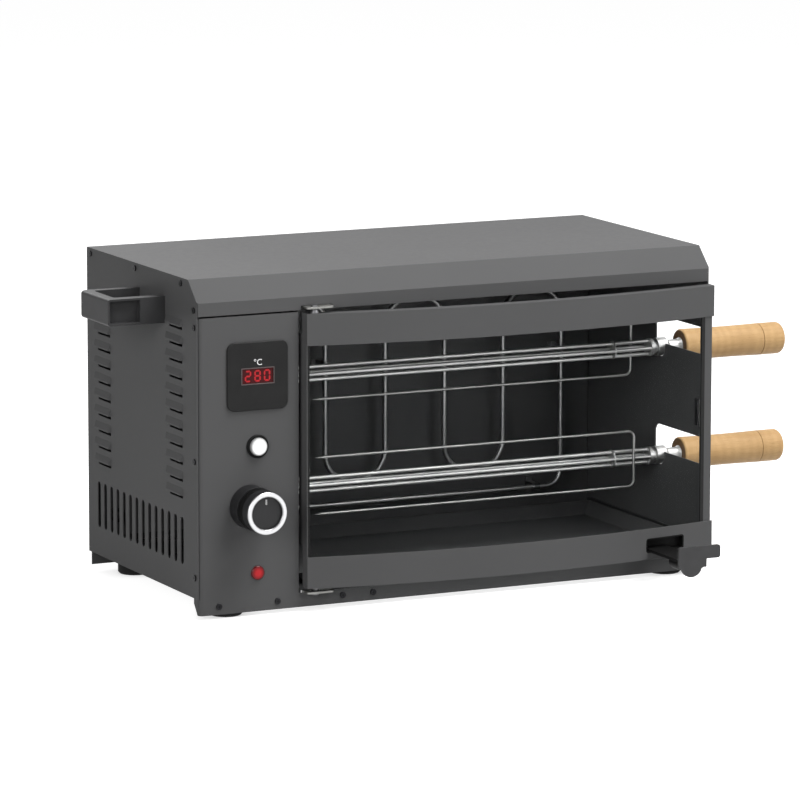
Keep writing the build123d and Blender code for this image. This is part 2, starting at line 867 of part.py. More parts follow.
board_y = from_front(bezel_boss)
board_size = (display_opening[0] + 2 * board_margin, display_opening[1] + 4 * board_margin)
with BuildPart() as control_board:
    with BuildSketch(upright(board_y)):
        with Locations((centre_x, bezel_centre_height)):
            Rectangle(*board_size)
    extrude(amount=-board_thickness)
    # display module in front, transformer and relay behind
    with BuildSketch(upright(board_y)):
        with Locations((centre_x, bezel_centre_height)):
            Rectangle(window_width, window_height)
    extrude(amount=bezel_boss - 2.4)
    with BuildSketch(upright(board_y + board_thickness)):
        with Locations((centre_x - board_size[0] / 4, bezel_centre_height - board_size[1] / 4)):
            Rectangle(*transformer)
        with Locations((centre_x + board_size[0] / 4, bezel_centre_height + board_size[1] / 8)):
            Rectangle(*relay)
    extrude(amount=-component_height)
finish(control_board, "control_board")

button_rim = 2.5
button_well = 10.0
with BuildPart() as button_bezel:
    with BuildSketch(upright(front_face)):
        with Locations((centre_x, button_height)):
            Circle(button_bezel_radius)
    extrude(amount=button_rim)
    chamfer(button_bezel.edges().group_by(Axis.Y)[0], button_rim / 3)
    with BuildSketch(upright(front_face)):
        with Locations((centre_x, button_height)):
            Circle(button_barrel_radius)
    extrude(amount=-button_barrel_length)
    # nut that clamps the barrel behind the panel
    with BuildSketch(upright(from_front(sheet))):
        with Locations((centre_x, button_height)):
            RegularPolygon(button_barrel_radius + 3.5, 6)
    extrude(amount=-4.0)
    with BuildSketch(upright(front_face - button_rim)):
        with Locations((centre_x, button_height)):
            Circle(button_radius + button_clearance)
    extrude(amount=-(button_rim + button_well), mode=Mode.SUBTRACT)
    with BuildSketch(upright(front_face)):
        with Locations((centre_x, button_height)):
            Circle(button_stem_radius + button_clearance)
    extrude(amount=-button_barrel_length + 4.0, mode=Mode.SUBTRACT)
finish(button_bezel, "button_bezel")

with BuildPart() as button_cap:
    with BuildSketch(upright(front_face - button_proud)):
        with Locations((centre_x, button_height)):
            Circle(button_radius)
    extrude(amount=-(button_proud + button_well - button_travel - 1.0))
    fillet(button_cap.edges().group_by(Axis.Y)[0], 2.0)
    with BuildSketch(upright(front_face)):
        with Locations((centre_x, button_height)):
            Circle(button_stem_radius)
    extrude(amount=-(button_barrel_length - 4.0 - button_travel - 1.0))
finish(button_cap, "button_cap")

lamp_proud = 2.2
with BuildPart() as pilot_lamp:
    with BuildSketch(upright(front_face)):
        with Locations((centre_x, lamp_height)):
            Circle(lamp_radius)
    extrude(amount=lamp_proud)
    chamfer(pilot_lamp.edges().group_by(Axis.Y)[0], lamp_proud / 2)
    with BuildSketch(upright(front_face)):
        with Locations((centre_x, lamp_height)):
            Circle(lamp_barrel_radius)
    extrude(amount=-lamp_barrel_length)
finish(pilot_lamp, "pilot_lamp")

thermostat_front = from_front(sheet)
with BuildPart() as thermostat_body:
    # mounting plate, case and two blade terminals
    with BuildSketch(upright(thermostat_front)):
        with Locations((knob_x, knob_height)):
            Rectangle(38.0, 30.0)
    extrude(amount=-1.5)
    with BuildSketch(upright(thermostat_front + 1.5)):
        with Locations((knob_x, knob_height)):
            RectangleRounded(30.0, 30.0, 4.0)
    extrude(amount=-24.0)
    with BuildSketch(upright(thermostat_front + 25.5)):
        with Locations((knob_x, knob_height)):
            with GridLocations(12.0, 0, 2, 1):
                Rectangle(6.3, 0.8)
    extrude(amount=-8.0)
    with BuildSketch(upright(thermostat_front)):
        with Locations((knob_x, knob_height)):
            Circle(knob_shaft_radius + bush_clearance)
    extrude(amount=-14.0, mode=Mode.SUBTRACT)
finish(thermostat_body, "thermostat_body")

shaft_flat = 13.0


def shaft_section():
    """The shaft's D section: a circle with a flat on its upper side."""
    with Locations((knob_x, knob_height)):
        Circle(knob_shaft_radius)
        with Locations((0, knob_shaft_radius)):
            Rectangle(2 * knob_shaft_radius, knob_shaft_radius, mode=Mode.SUBTRACT)


with BuildPart() as thermostat_shaft:
    with BuildSketch(upright(front_face - knob_shaft_reach)):
        shaft_section()
    extrude(amount=-shaft_flat)
    with BuildSketch(upright(front_face - knob_shaft_reach + shaft_flat)):
        with Locations((knob_x, knob_height)):
            Circle(knob_shaft_radius)
    extrude(amount=-(knob_shaft_reach - shaft_flat + 10.0))
finish(thermostat_shaft, "thermostat_shaft")

knob_axis = Plane(origin=(knob_x, front_face, knob_height), x_dir=(1, 0, 0), z_dir=(0, 0, 1))
knob_face = knob_reach - knob_ring
knob_hub = knob_shaft_radius + knob_wall
knob_hub_back = knob_shaft_reach - shaft_flat
with BuildPart() as knob:
    # half section, revolved about the shaft: dished face, body, groove, skirt, hollow back and hub
    with BuildSketch(knob_axis):
        with BuildLine():
            Polyline(
                (0, 1.0 - knob_face),
                (ring_inner, 1.0 - knob_face),
                (ring_inner, -knob_face),
                (knob_radius, -knob_face),
                (knob_radius, -knob_skirt - knob_groove),
                (knob_radius - knob_groove, -knob_skirt - knob_groove),
                (knob_radius - knob_groove, -knob_skirt),
                (knob_skirt_radius, -knob_skirt),
                (knob_skirt_radius, -knob_gap),
                (knob_skirt_radius - knob_wall, -knob_gap),
                (ring_inner, 1.0 + knob_wall - knob_face),
                (knob_hub, 1.0 + knob_wall - knob_face),
                (knob_hub, -knob_hub_back),
                (0, -knob_hub_back),
                close=True,
            )
        make_face()
    revolve(axis=Axis((knob_x, front_face, knob_height), (0, 1, 0)))
    with BuildSketch(upright(front_face - knob_shaft_reach)):
        shaft_section()
    extrude(amount=-shaft_flat, mode=Mode.SUBTRACT)
finish(knob, "knob")

with BuildPart() as knob_ring_trim:
    with BuildSketch(upright(front_face - knob_face)):
        with Locations((knob_x, knob_height)):
            Circle(knob_radius)
            Circle(ring_inner, mode=Mode.SUBTRACT)
    extrude(amount=knob_ring)
    chamfer(knob_ring_trim.edges().group_by(Axis.Y)[0], knob_ring / 4)
finish(knob_ring_trim, "knob_ring")

# --------------------------------------------------------------- spit drive
gear_left = from_left(gear_from_left)


def gear_outline(teeth, first_tooth):
    """Spur gear outline; each involute flank is three points of the true curve."""
    pitch_radius = gear_module * teeth / 2
    base_radius = pitch_radius * math.cos(math.radians(20))
    tip_radius = pitch_radius + 0.85 * gear_module
    root_radius = pitch_radius - 0.85 * gear_module - tooth_clearance

    def half_angle(radius):
        """Half the tooth's thickness at a radius, as an angle at the gear's centre."""
        def involute(r):
            slope = math.acos(min(1.0, base_radius / r))
            return math.tan(slope) - slope
        at_pitch = math.pi / (2 * teeth) - backlash / (4 * pitch_radius)
        return at_pitch + involute(pitch_radius) - involute(max(radius, base_radius))

    flank = [root_radius, pitch_radius, tip_radius]
    points = []
    for tooth in range(teeth):
        middle = math.radians(first_tooth) + 2 * math.pi * tooth / teeth
        sides = [(r, -half_angle(r)) for r in flank] + [(r, half_angle(r)) for r in reversed(flank)]
        points += [(r * math.cos(middle + a), r * math.sin(middle + a)) for r, a in sides]
    return points


def gear(name, height, teeth, first_tooth, bore, hub):
    with BuildPart() as wheel:
        with BuildSketch(on_axis(gear_left, height)) as rim:
            with BuildLine() as outline:
                Polyline(*gear_outline(teeth, first_tooth), close=True)
            make_face(outline.line.edges())
            Circle(bore, mode=Mode.SUBTRACT)
        extrude(rim.sketch, amount=gear_face)
        with BuildSketch(on_axis(gear_left + gear_face, height)) as boss:
            Circle(hub)
            Circle(bore, mode=Mode.SUBTRACT)
        extrude(boss.sketch, amount=gear_hub)
    finish(wheel, name)


half_pitch = 180.0 / gear_teeth
gear("lower_gear", spit_heights[0], gear_teeth, 90.0, spindle_radius, 9.0)
gear("upper_gear", spit_heights[1], gear_teeth, -90.0 + half_pitch, spindle_radius, 9.0)
gear("drive_pinion", pinion_height, pinion_teeth, 90.0, motor_shaft_radius, 7.0)

socket_left = partition_x + sheet + 2.5
socket_right = socket_left + socket_length
bush_left = gear_left + gear_face + gear_hub + washer_gap
with BuildPart() as spindle_bushes:
    for height in spit_heights:
        with BuildSketch(on_axis(bush_left, height)):
            Circle(bush_radius)
        extrude(amount=partition_x + sheet - bush_left)
        with BuildSketch(on_axis(partition_x + sheet, height)):
            Circle(bush_radius + 3.0)
        extrude(amount=2.0)
        with BuildSketch(on_axis(gear_left, height)):
            Circle(spindle_radius + bush_clearance)
        extrude(amount=socket_right - gear_left, mode=Mode.SUBTRACT)
finish(spindle_bushes, "spindle_bushes")


def spindle(name, height):
    """Shaft through the bush, with a square socket for the skewer's tip on the cavity side."""
    with BuildPart() as drive:
        with BuildSketch(on_axis(gear_left - 2.0, height)) as shaft:
            Circle(spindle_radius)
        extrude(shaft.sketch, amount=socket_left - gear_left + 2.0)
        with BuildSketch(on_axis(socket_left, height)) as cup:
            Circle(socket_radius)
        extrude(cup.sketch, amount=socket_length)
        with BuildSketch(on_axis(socket_right, height)) as square:
            Rectangle(drive_square + 2 * drive_clearance, drive_square + 2 * drive_clearance)
        extrude(square.sketch, amount=-socket_length + 4.0, mode=Mode.SUBTRACT)
        chamfer(drive.edges().filter_by(GeomType.CIRCLE).group_by(Axis.X)[-1], 1.0)
    finish(drive, name)


def skewer_rods(name, height):
    """Square tip, hub, four rods, spacer, hub, journal and tang, welded into one piece."""
    rods_end = from_left(rods_right)
    hub_end = rods_end + hub_thickness
    wood_start = from_left(wood_left)
    with BuildPart() as rods:
        with BuildSketch(on_axis(socket_left + 4.0 + tip_gap, height)) as tip:
            Rectangle(drive_square, drive_square)
        extrude(tip.sketch, amount=socket_length - 4.0)
        with BuildSketch(on_axis(socket_right + tip_gap, height)) as left_hub:
            Circle(hub_radius)
        extrude(left_hub.sketch, amount=hub_thickness)
        rods_left = socket_right + tip_gap + hub_thickness
        with BuildSketch(on_axis(rods_left, height)) as bars:
            with PolarLocations(rod_circle, 4):
                Circle(rod_radius)
        extrude(bars.sketch, amount=rods_end - rods_left)
        with BuildSketch(on_axis(from_left(spacer_from_left), height)) as spacer:
            Circle(hub_radius)
        extrude(spacer.sketch, amount=spacer_thickness)
        # turned end: hub, neck, journal, neck, ferrule and the tang inside the wood
        with BuildSketch(Plane(origin=(0, spit_y, height), x_dir=(1, 0, 0), z_dir=(0, -1, 0))) as turned:
            with BuildLine() as outline:
                Polyline(
                    (rods_end, 0),
                    (rods_end, hub_radius),
                    (hub_end, hub_radius),
                    (hub_end, neck_radius),
                    (from_left(journal_left), neck_radius),
                    (from_left(journal_left), journal_radius),
                    (from_left(journal_right), journal_radius),
                    (from_left(journal_right) + journal_radius - neck_radius, neck_radius),
                    (wood_start - 2 * (ferrule_radius - neck_radius), neck_radius),
                    (wood_start, ferrule_radius),
                    (wood_start + tang_radius, ferrule_radius),
                    (wood_start + tang_radius, tang_radius),
                    (wood_start + tang_length, tang_radius),
                    (wood_start + tang_length, 0),
                    close=True,
                )
            make_face(outline.line.edges())
        revolve(turned.sketch, axis=Axis((0, spit_y, height), (1, 0, 0)))
    finish(rods, name)


def wooden_handle(name, height):
    """Turned grip: flat face with a rounded edge, slight waist, a decorative groove and a domed end."""
    start = from_left(wood_left)
    end = from_left(skewer_right)
    groove = end - wood_groove
    dome_radius = 5.0
    with BuildPart() as grip:
        with BuildSketch(Plane(origin=(0, spit_y, height), x_dir=(1, 0, 0), z_dir=(0, -1, 0))) as half:
            with BuildLine() as outline:
                shoulder = RadiusArc(
                    (start, wood_radius - wood_shoulder), (start + wood_shoulder, wood_radius), wood_shoulder
                )
                body = ThreePointArc(
                    shoulder @ 1, ((start + groove) / 2, wood_waist), (groove - 0.8, wood_radius)
                )
                Polyline(
                    body @ 1,
                    (groove, wood_radius - 1.0),
                    (groove + 0.8, wood_radius),
                    (end - dome_radius, wood_radius),
                )
                dome = RadiusArc((end - dome_radius, wood_radius), (end, wood_radius - dome_radius), 5.2)
                Polyline(
                    dome @ 1,
                    (end, 0),
                    (start + tang_length, 0),
                    (start + tang_length, tang_radius),
                    (start + tang_radius, tang_radius),
                    (start + tang_radius, ferrule_radius),
                    (start, ferrule_radius),
                    shoulder @ 0,
                )
            make_face(outline.line.edges())
        revolve(half.sketch, axis=Axis((0, spit_y, height), (1, 0, 0)))
    finish(grip, name)


def fork(name, height, bar, side):
    """Two pointed prongs bent from one wire; the bar between them is welded to the nearest rod."""
    wire_y = spit_y + side * (rod_circle + rod_radius + fork_wire_radius - fork_weld)
    bar_x = from_left(bar)
    point_x = bar_x - fork_length
    with BuildPart() as prongs:
        with BuildLine() as path:
            FilletPolyline(
                (point_x + fork_point, wire_y, height + fork_half_height),
                (bar_x, wire_y, height + fork_half_height),
                (bar_x, wire_y, height - fork_half_height),
                (point_x + fork_point, wire_y, height - fork_half_height),
                radius=fork_corner,
            )
        with BuildSketch(Plane(origin=path.line @ 0, z_dir=path.line % 0)) as section:
            Circle(fork_wire_radius)
        sweep(section.sketch, path=path.line)
        for prong in (height - fork_half_height, height + fork_half_height):
            with Locations(Location((point_x + fork_point, wire_y, prong), (0, -90, 0))):
                Cone(fork_wire_radius, 0.3, fork_point, align=(Align.CENTER, Align.CENTER, Align.MIN))
        # the bar seats on the rod in a shallow saddle
        with BuildSketch(on_axis(bar_x - 2 * fork_wire_radius, height)) as saddle:
            with PolarLocations(rod_circle, 4):
                Circle(rod_radius)
        extrude(saddle.sketch, amount=4 * fork_wire_radius, mode=Mode.SUBTRACT)
    finish(prongs, name)


for level_name, height, bar, side in zip(("lower", "upper"), spit_heights, fork_bars, (-1, 1)):
    spindle(f"{level_name}_spindle", height)
    skewer_rods(f"{level_name}_skewer", height)
    wooden_handle(f"{level_name}_wooden_handle", height)
    fork(f"{level_name}_fork", height, bar, side)

bracket_x = from_left(bracket_from_left)
shaft_left = bracket_x - 8.0
with BuildPart() as motor_shaft:
    with BuildSketch(on_axis(shaft_left, pinion_height)):
        Circle(motor_shaft_radius)
    extrude(amount=gear_left + gear_face + gear_hub - shaft_left)
finish(motor_shaft, "motor_shaft")

with BuildPart() as gearmotor:
    with BuildSketch(on_axis(bracket_x - motor_length, pinion_height - motor_offset)):
        Circle(motor_radius)
    extrude(amount=motor_length)
    chamfer(gearmotor.edges().group_by(Axis.X)[0], 1.5)
    with BuildSketch(on_axis(bracket_x, pinion_height - motor_offset)):
        SlotOverall(2 * motor_radius + 2 * motor_ear + 2.0, 1.5 * motor_ear)
        with GridLocations(2 * motor_radius + motor_ear, 0, 2, 1):
            Circle(screw_hole, mode=Mode.SUBTRACT)
    extrude(amount=-1.5)
    with BuildSketch(on_axis(bracket_x, pinion_height)):
        Circle(motor_shaft_radius + bush_clearance)
    extrude(amount=-10.0, mode=Mode.SUBTRACT)
finish(gearmotor, "gearmotor")

with BuildPart() as motor_bracket:
    with BuildSketch(on_axis(bracket_x, pinion_height)) as bracket:
        SlotOverall(2 * standoff_reach + bracket_width / 2, bracket_width)
        with Locations((0, -motor_offset)):
            Rectangle(2 * motor_radius + 2.5 * motor_ear, 3 * motor_ear)
            with GridLocations(2 * motor_radius + motor_ear, 0, 2, 1):
                Circle(screw_hole, mode=Mode.SUBTRACT)
        Circle(2 * motor_shaft_radius, mode=Mode.SUBTRACT)
        with GridLocations(2 * standoff_reach, 0, 2, 1):
            Circle(standoff_radius - 1.0, mode=Mode.SUBTRACT)
    extrude(amount=bracket_thickness)
finish(motor_bracket, "motor_bracket")

with BuildPart() as bracket_standoffs:
    with BuildSketch(on_axis(bracket_x + bracket_thickness, pinion_height)):
        with GridLocations(2 * standoff_reach, 0, 2, 1):
            Circle(standoff_radius)
    extrude(amount=partition_x - bracket_x - bracket_thickness)
    with BuildSketch(on_axis(bracket_x, pinion_height)):
        with GridLocations(2 * standoff_reach, 0, 2, 1):
            Circle(standoff_radius - 1.0)
    extrude(amount=partition_x + sheet - bracket_x)
finish(bracket_standoffs, "bracket_standoffs")

terminal_width = terminal_right - terminal_left
terminal_depth = terminal_back - terminal_front
terminal_middle = (
    from_left(terminal_left) + terminal_width / 2,
    from_front(terminal_front) + terminal_depth / 2,
)
with BuildPart() as terminal_block:
    with BuildSketch(level(pan_top)):
        rectangle(
            from_left(terminal_left),
            from_left(terminal_right),
            from_front(terminal_front),
            from_front(terminal_back),
        )
    extrude(amount=terminal_height)
    with BuildSketch(level(pan_top + terminal_height)):
        with Locations(terminal_middle):
            with GridLocations(terminal_width / 4, terminal_depth / 2, 4, 2):
                Circle(terminal_depth / 8)
    extrude(amount=-terminal_height / 2, mode=Mode.SUBTRACT)
finish(terminal_block, "terminal_block")

# ---------------------------------------------------------------------- door
bow_half = (door_right - door_left) / 2
bow_middle = from_left(door_left) + bow_half
bow_radius = (bow_half ** 2 + door_bow ** 2) / (2 * door_bow)
bow_centre = front_face - door_proud - door_bow + bow_radius


def bow_y(x, inset):
    """The y of the door's bowed face at x, moved back square to the face by inset."""
    return bow_centre - math.sqrt((bow_radius - inset) ** 2 - (x - bow_middle) ** 2)


def bow_strip(left, right, outer, inner, mode=Mode.ADD):
    """A strip of the door's plan between two insets, cut off square at left and right."""
    middle = (left + right) / 2
    with BuildLine() as outline:
        front = ThreePointArc(*[(x, bow_y(x, outer)) for x in (left, middle, right)])
        back = ThreePointArc(*[(x, bow_y(x, inner)) for x in (right, middle, left)])
        Line(front @ 1, back @ 0)
        Line(back @ 1, front @ 0)
    make_face(outline.line.edges(), mode=mode)


door_ends = (from_left(door_left), from_left(door_right))
pivot = (from_left(pivot_from_left), from_front(pivot_from_front))
sleeve_radius = pin_radius + 1.0
washer_radius = 5.0
lower_rail_top = door_bottom + door_rail
upper_rail_bottom = door_top - door_rail


with BuildPart() as door_top_rail:
    with BuildSketch(level(upper_rail_bottom)):
        bow_strip(*door_ends, 0, door_sheet)
    extrude(amount=door_rail)
    with BuildSketch(level(door_top)):
        bow_strip(*door_ends, door_sheet, door_rail_depth)
        with Locations(pivot):
            Circle(sleeve_radius, mode=Mode.SUBTRACT)
    extrude(amount=-door_sheet)
finish(door_top_rail, "door_top_rail")

slot_left = from_left(pull_left)
slot_right = from_left(pull_left + pull_width)
with BuildPart() as door_bottom_rail:
    with BuildSketch(level(door_bottom)):
        bow_strip(*door_ends, 0, door_sheet)
    extrude(amount=door_rail)
    with BuildSketch(level(door_bottom)):
        bow_strip(*door_ends, door_sheet, door_rail_depth)
        with Locations(pivot):
            Circle(sleeve_radius, mode=Mode.SUBTRACT)
    extrude(amount=door_sheet)
    with BuildSketch(upright(front_face)):
        with Locations(((slot_left + slot_right) / 2, (slot_bottom + slot_top) / 2)):
            RectangleRounded(slot_right - slot_left, slot_top - slot_bottom, slot_corner)
    extrude(amount=door_proud + door_bow, mode=Mode.SUBTRACT)
finish(door_bottom_rail, "door_bottom_rail")

web_left = door_ends[0]
glass_bottom = lower_rail_top - glass_cover
glass_top = upper_rail_bottom + glass_cover
glass_back = glass_inset + glass_thickness + 0.5
stile_tongue_low = door_bottom + 44.5
stile_tongue_high = door_top - 22.0
with BuildPart() as door_left_stile:
    with BuildSketch(across(web_left)):
        front = bow_y(web_left, door_sheet) + 0.02
        back = bow_y(web_left, door_rail_depth)
        rectangle(front, back, door_bottom + door_sheet, door_top - door_sheet)
        rectangle(front, from_front(stile_tongue_reach), stile_tongue_low, stile_tongue_high)
    extrude(amount=door_sheet)
    with BuildSketch(level(glass_bottom)):
        bow_strip(web_left + door_sheet, web_left + stile_lip, glass_back, glass_back + door_sheet)
    extrude(amount=glass_top - glass_bottom)
finish(door_left_stile, "door_left_stile")

stile_web = from_left(stile_right)
stile_rear = from_front(-stile_back)
with BuildPart() as door_right_stile:
    with BuildSketch(level(door_bottom + door_sheet)):
        bow_strip(from_left(stile_left), stile_web, door_sheet, 2 * door_sheet)
        rectangle(stile_web - door_sheet, stile_web, bow_y(stile_web, 1.5 * door_sheet), stile_rear)
        rectangle(from_left(stile_left + 1.0), stile_web, stile_rear - door_sheet, stile_rear)
    extrude(amount=door_top - door_bottom - 2 * door_sheet)
finish(door_right_stile, "door_right_stile")

with BuildPart() as door_glass:
    with BuildSketch(level(glass_bottom)):
        bow_strip(from_left(glass_left), from_left(glass_right), glass_inset, glass_inset + glass_thickness)
    extrude(amount=glass_top - glass_bottom)
finish(door_glass, "door_glass")

with BuildPart() as glass_seals:
    with BuildSketch(level(glass_bottom)):
        bow_strip(web_left + door_sheet, from_left(glass_right), door_sheet, glass_inset)
        bow_strip(from_left(stile_left), from_left(glass_right) + 1.0, 0, 2 * door_sheet, mode=Mode.SUBTRACT)
    extrude(amount=glass_top - glass_bottom)
    with BuildSketch(upright(front_face)):
        rectangle(
            from_left(glass_left + seal_left_width),
            from_left(stile_left - seal_right_width),
            lower_rail_top,
            upper_rail_bottom,
        )
    extrude(amount=door_proud + door_bow, mode=Mode.SUBTRACT)
finish(glass_seals, "glass_seals")

pocket_back = bow_y(slot_right, pocket_inset)
slot_middle = ((slot_left + slot_right) / 2, (slot_bottom + slot_top) / 2)
with BuildPart() as pull_pocket:
    with BuildSketch(upright(pocket_back)):
        with Locations(slot_middle):
            RectangleRounded(slot_right - slot_left, slot_top - slot_bottom, slot_corner)
    extrude(amount=door_proud + door_bow)
    with BuildSketch(upright(pocket_back - slot_wall)):
        with Locations(slot_middle):
            RectangleRounded(
                slot_right - slot_left - 2 * slot_wall,
                slot_top - slot_bottom - 2 * slot_wall,
                slot_corner - slot_wall,
            )
    extrude(amount=door_proud + door_bow, mode=Mode.SUBTRACT)
    with BuildSketch(level(slot_bottom)):
        bow_strip(slot_left - 1.0, slot_right + 1.0, -door_proud - door_bow, 0)
    extrude(amount=slot_top - slot_bottom, mode=Mode.SUBTRACT)
finish(pull_pocket, "pull_pocket")

tongue_bottom = slot_bottom + slot_wall
plate_front = front_face - pull_reach
plate_back = plate_front + pull_thickness
lobe = (slot_left + lobe_from_pull, lobe_bottom + lobe_radius)
tab_bottom = thumb_tab_top - thumb_tab_height
with BuildPart() as pull_tongue:
    # flat bar out of the pocket, with a round boss under it where the plate is fixed
    with BuildSketch(level(tongue_bottom)):
        rectangle(slot_left + slot_corner, slot_left + tongue_width, plate_back, pocket_back - slot_wall)
    extrude(amount=pull_thickness)
    with BuildSketch(upright(plate_back)):
        with Locations((lobe[0], tongue_bottom + pull_thickness - boss_radius)):
            Circle(boss_radius)
    extrude(amount=-boss_length)
finish(pull_tongue, "pull_tongue")

with BuildPart() as door_pull:
    # upright plate: thumb tab above, stepping in to a round lobe below
    with BuildSketch(upright(plate_back)) as plate:
        rectangle(slot_left, slot_right, tab_bottom, thumb_tab_top)
        tab_corners = plate.vertices().group_by(Axis.X)[0].sort_by(Axis.Y)[-1:]
        tab_corners += plate.vertices().group_by(Axis.X)[-1]
        fillet(tab_corners, 3.0)
        rectangle(slot_left, slot_left + plate_width, plate_bottom, thumb_tab_top - 3.0)
        fillet(plate.vertices().group_by(Axis.Y)[0].sort_by(Axis.X)[-1], 1.5)
        with Locations(lobe):
            Circle(lobe_radius)
    extrude(amount=pull_thickness)
finish(door_pull, "door_pull")

with BuildPart() as hinge_bushes:
    for end, plate, inward in (
        (door_top, upper_hinge_height, -1),
        (door_bottom, rail_top + hinge_plate_thickness, 1),
    ):
        near_plate = plate + inward * washer_gap
        with BuildSketch(Plane(origin=(*pivot, 0), x_dir=(1, 0, 0), z_dir=(0, -1, 0))):
            with BuildLine():
                Polyline(
                    (pin_radius + pin_clearance, end + 4 * inward),
                    (sleeve_radius, end + 4 * inward),
                    (sleeve_radius, end),
                    (washer_radius, end),
                    (washer_radius, end - inward),
                    (sleeve_radius, near_plate),
                    (pin_radius + pin_clearance, near_plate),
                    close=True,
                )
            make_face()
        revolve(axis=Axis((*pivot, 0), (0, 0, 1)))
finish(hinge_bushes, "hinge_bushes")

hinge_foot_front = from_front(hinge_plate_nose)
with BuildPart() as upper_hinge_plate:
    with BuildSketch(level(upper_hinge_height)) as arm:
        rectangle(
            from_left(hinge_plate_left),
            from_left(hinge_plate_right),
            from_front(-hinge_plate_nose),
            from_front(hinge_plate_tail),
        )
        fillet(arm.vertices().group_by(Axis.Y)[0], 4.0)
        rectangle(wall_left, from_left(hinge_plate_left), hinge_foot_front, from_front(hinge_plate_tail))
        with Locations(pivot):
            Circle(pin_radius, mode=Mode.SUBTRACT)
    extrude(amount=hinge_plate_thickness)
    with BuildSketch(across(wall_left)):
        hinge_foot_top = upper_hinge_height + 10 * hinge_plate_thickness
        rectangle(hinge_foot_front, from_front(hinge_plate_tail), upper_hinge_height, hinge_foot_top)
    extrude(amount=hinge_plate_thickness)
finish(upper_hinge_plate, "upper_hinge_plate")

leg_back = 2 * sheet + hinge_plate_thickness
with BuildPart() as lower_hinge_plate:
    with BuildSketch(level(rail_top)) as arm:
        rectangle(
            from_left(hinge_plate_left),
            from_left(hinge_plate_right),
            from_front(-hinge_plate_nose),
            from_front(leg_back),
        )
        fillet(arm.vertices().group_by(Axis.Y)[0], 4.0)
        with Locations(pivot):
            Circle(pin_radius, mode=Mode.SUBTRACT)
    extrude(amount=hinge_plate_thickness)
    with BuildSketch(upright(from_front(2 * sheet))):
        rectangle(
            from_left(hinge_plate_left),
            from_left(hinge_foot_right),
            rail_bottom + sheet,
            rail_top + hinge_plate_thickness,
        )
        with Locations(*rail_screw_spots[2:]):
            Circle(screw_hole, mode=Mode.SUBTRACT)
    extrude(amount=-hinge_plate_thickness)
finish(lower_hinge_plate, "lower_hinge_plate")

with BuildPart() as hinge_pins:
    for start, end, head in (
        (upper_hinge_height + hinge_plate_thickness, door_top - 6.0, 1),
        (rail_top, door_bottom + 6.0, -1),
    ):
        with BuildSketch(level(start)):
            with Locations(pivot):
                Circle(pin_radius)
        extrude(amount=end - start)
        with BuildSketch(level(start)):
            with Locations(pivot):
                Circle(pin_radius + 1.5)
        extrude(amount=1.5 * head)
finish(hinge_pins, "hinge_pins")

catch_right = from_left(stile_right - door_sheet)
catch_low = catch_height - catch_length / 2
catch_high = catch_height + catch_length / 2
with BuildPart() as catch_plate:
    with BuildSketch(upright(stile_rear)):
        rectangle(catch_right + 1.0 - catch_reach, catch_right, catch_low, catch_high)
    extrude(amount=-1.0)
finish(catch_plate, "catch_plate")

with BuildPart() as catch_magnet:
    with BuildSketch(upright(from_front(1.0))):
        rectangle(catch_right - catch_reach, right_face - sheet, catch_low, catch_high)
    extrude(amount=-8.0)
    chamfer(catch_magnet.edges().group_by(Axis.X)[0], 1.0)
finish(catch_magnet, "catch_magnet")

# -------------------------------------------------------------------- screws
panel_screw_planes = [
    Plane(origin=(side, y, z), z_dir=(direction, 0, 0))
    for side, direction, spots in (
        (left_face, -1, left_screw_spots),
        (right_face, 1, right_screw_spots),
    )
    for y, z in spots
]
panel_screw_planes += [Plane(origin=(x, front_face, z), z_dir=(0, -1, 0)) for x, z in rail_screw_spots]
panel_screw_planes += [Plane(origin=(x, back_face, z), z_dir=(0, 1, 0)) for x, z in back_screw_spots]
screws("panel_screws", panel_screw_planes)
handle_screw_planes = [
    Plane(origin=(left_face + sheet, y, z), z_dir=(1, 0, 0)) for y, z in handle_screw_spots
]
screws("handle_screws", handle_screw_planes)
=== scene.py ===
import math

import bmesh
import bpy
from mathutils import Matrix, Vector


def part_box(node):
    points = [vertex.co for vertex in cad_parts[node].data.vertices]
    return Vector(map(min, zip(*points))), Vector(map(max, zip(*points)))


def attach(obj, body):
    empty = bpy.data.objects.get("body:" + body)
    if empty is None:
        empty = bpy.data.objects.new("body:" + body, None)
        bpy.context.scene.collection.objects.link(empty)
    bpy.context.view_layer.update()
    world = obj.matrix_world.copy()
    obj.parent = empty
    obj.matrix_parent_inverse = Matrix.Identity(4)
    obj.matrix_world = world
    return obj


# The looks of a twin-spit rotisserie oven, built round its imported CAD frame.
# Metres, +Z up, the door faces -Y.

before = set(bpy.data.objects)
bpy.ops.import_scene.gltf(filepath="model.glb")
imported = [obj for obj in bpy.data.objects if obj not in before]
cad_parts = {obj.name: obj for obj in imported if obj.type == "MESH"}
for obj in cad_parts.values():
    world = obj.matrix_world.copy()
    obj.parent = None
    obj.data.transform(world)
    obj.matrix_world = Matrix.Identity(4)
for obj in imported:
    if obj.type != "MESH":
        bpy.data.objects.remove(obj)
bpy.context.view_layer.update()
MM = 0.001

# the sockets of a Mix node that are for colours; its others are for numbers and vectors
MIX_FACTOR = 0
MIX_FIRST = 6
MIX_SECOND = 7
MIX_RESULT = 2


def middle(node):
    """The centre of a CAD node's box."""
    low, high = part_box(node)
    return (Vector(low) + Vector(high)) / 2


def front_of(node):
    """The y of a CAD node's face nearest to the user."""
    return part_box(node)[0][1]


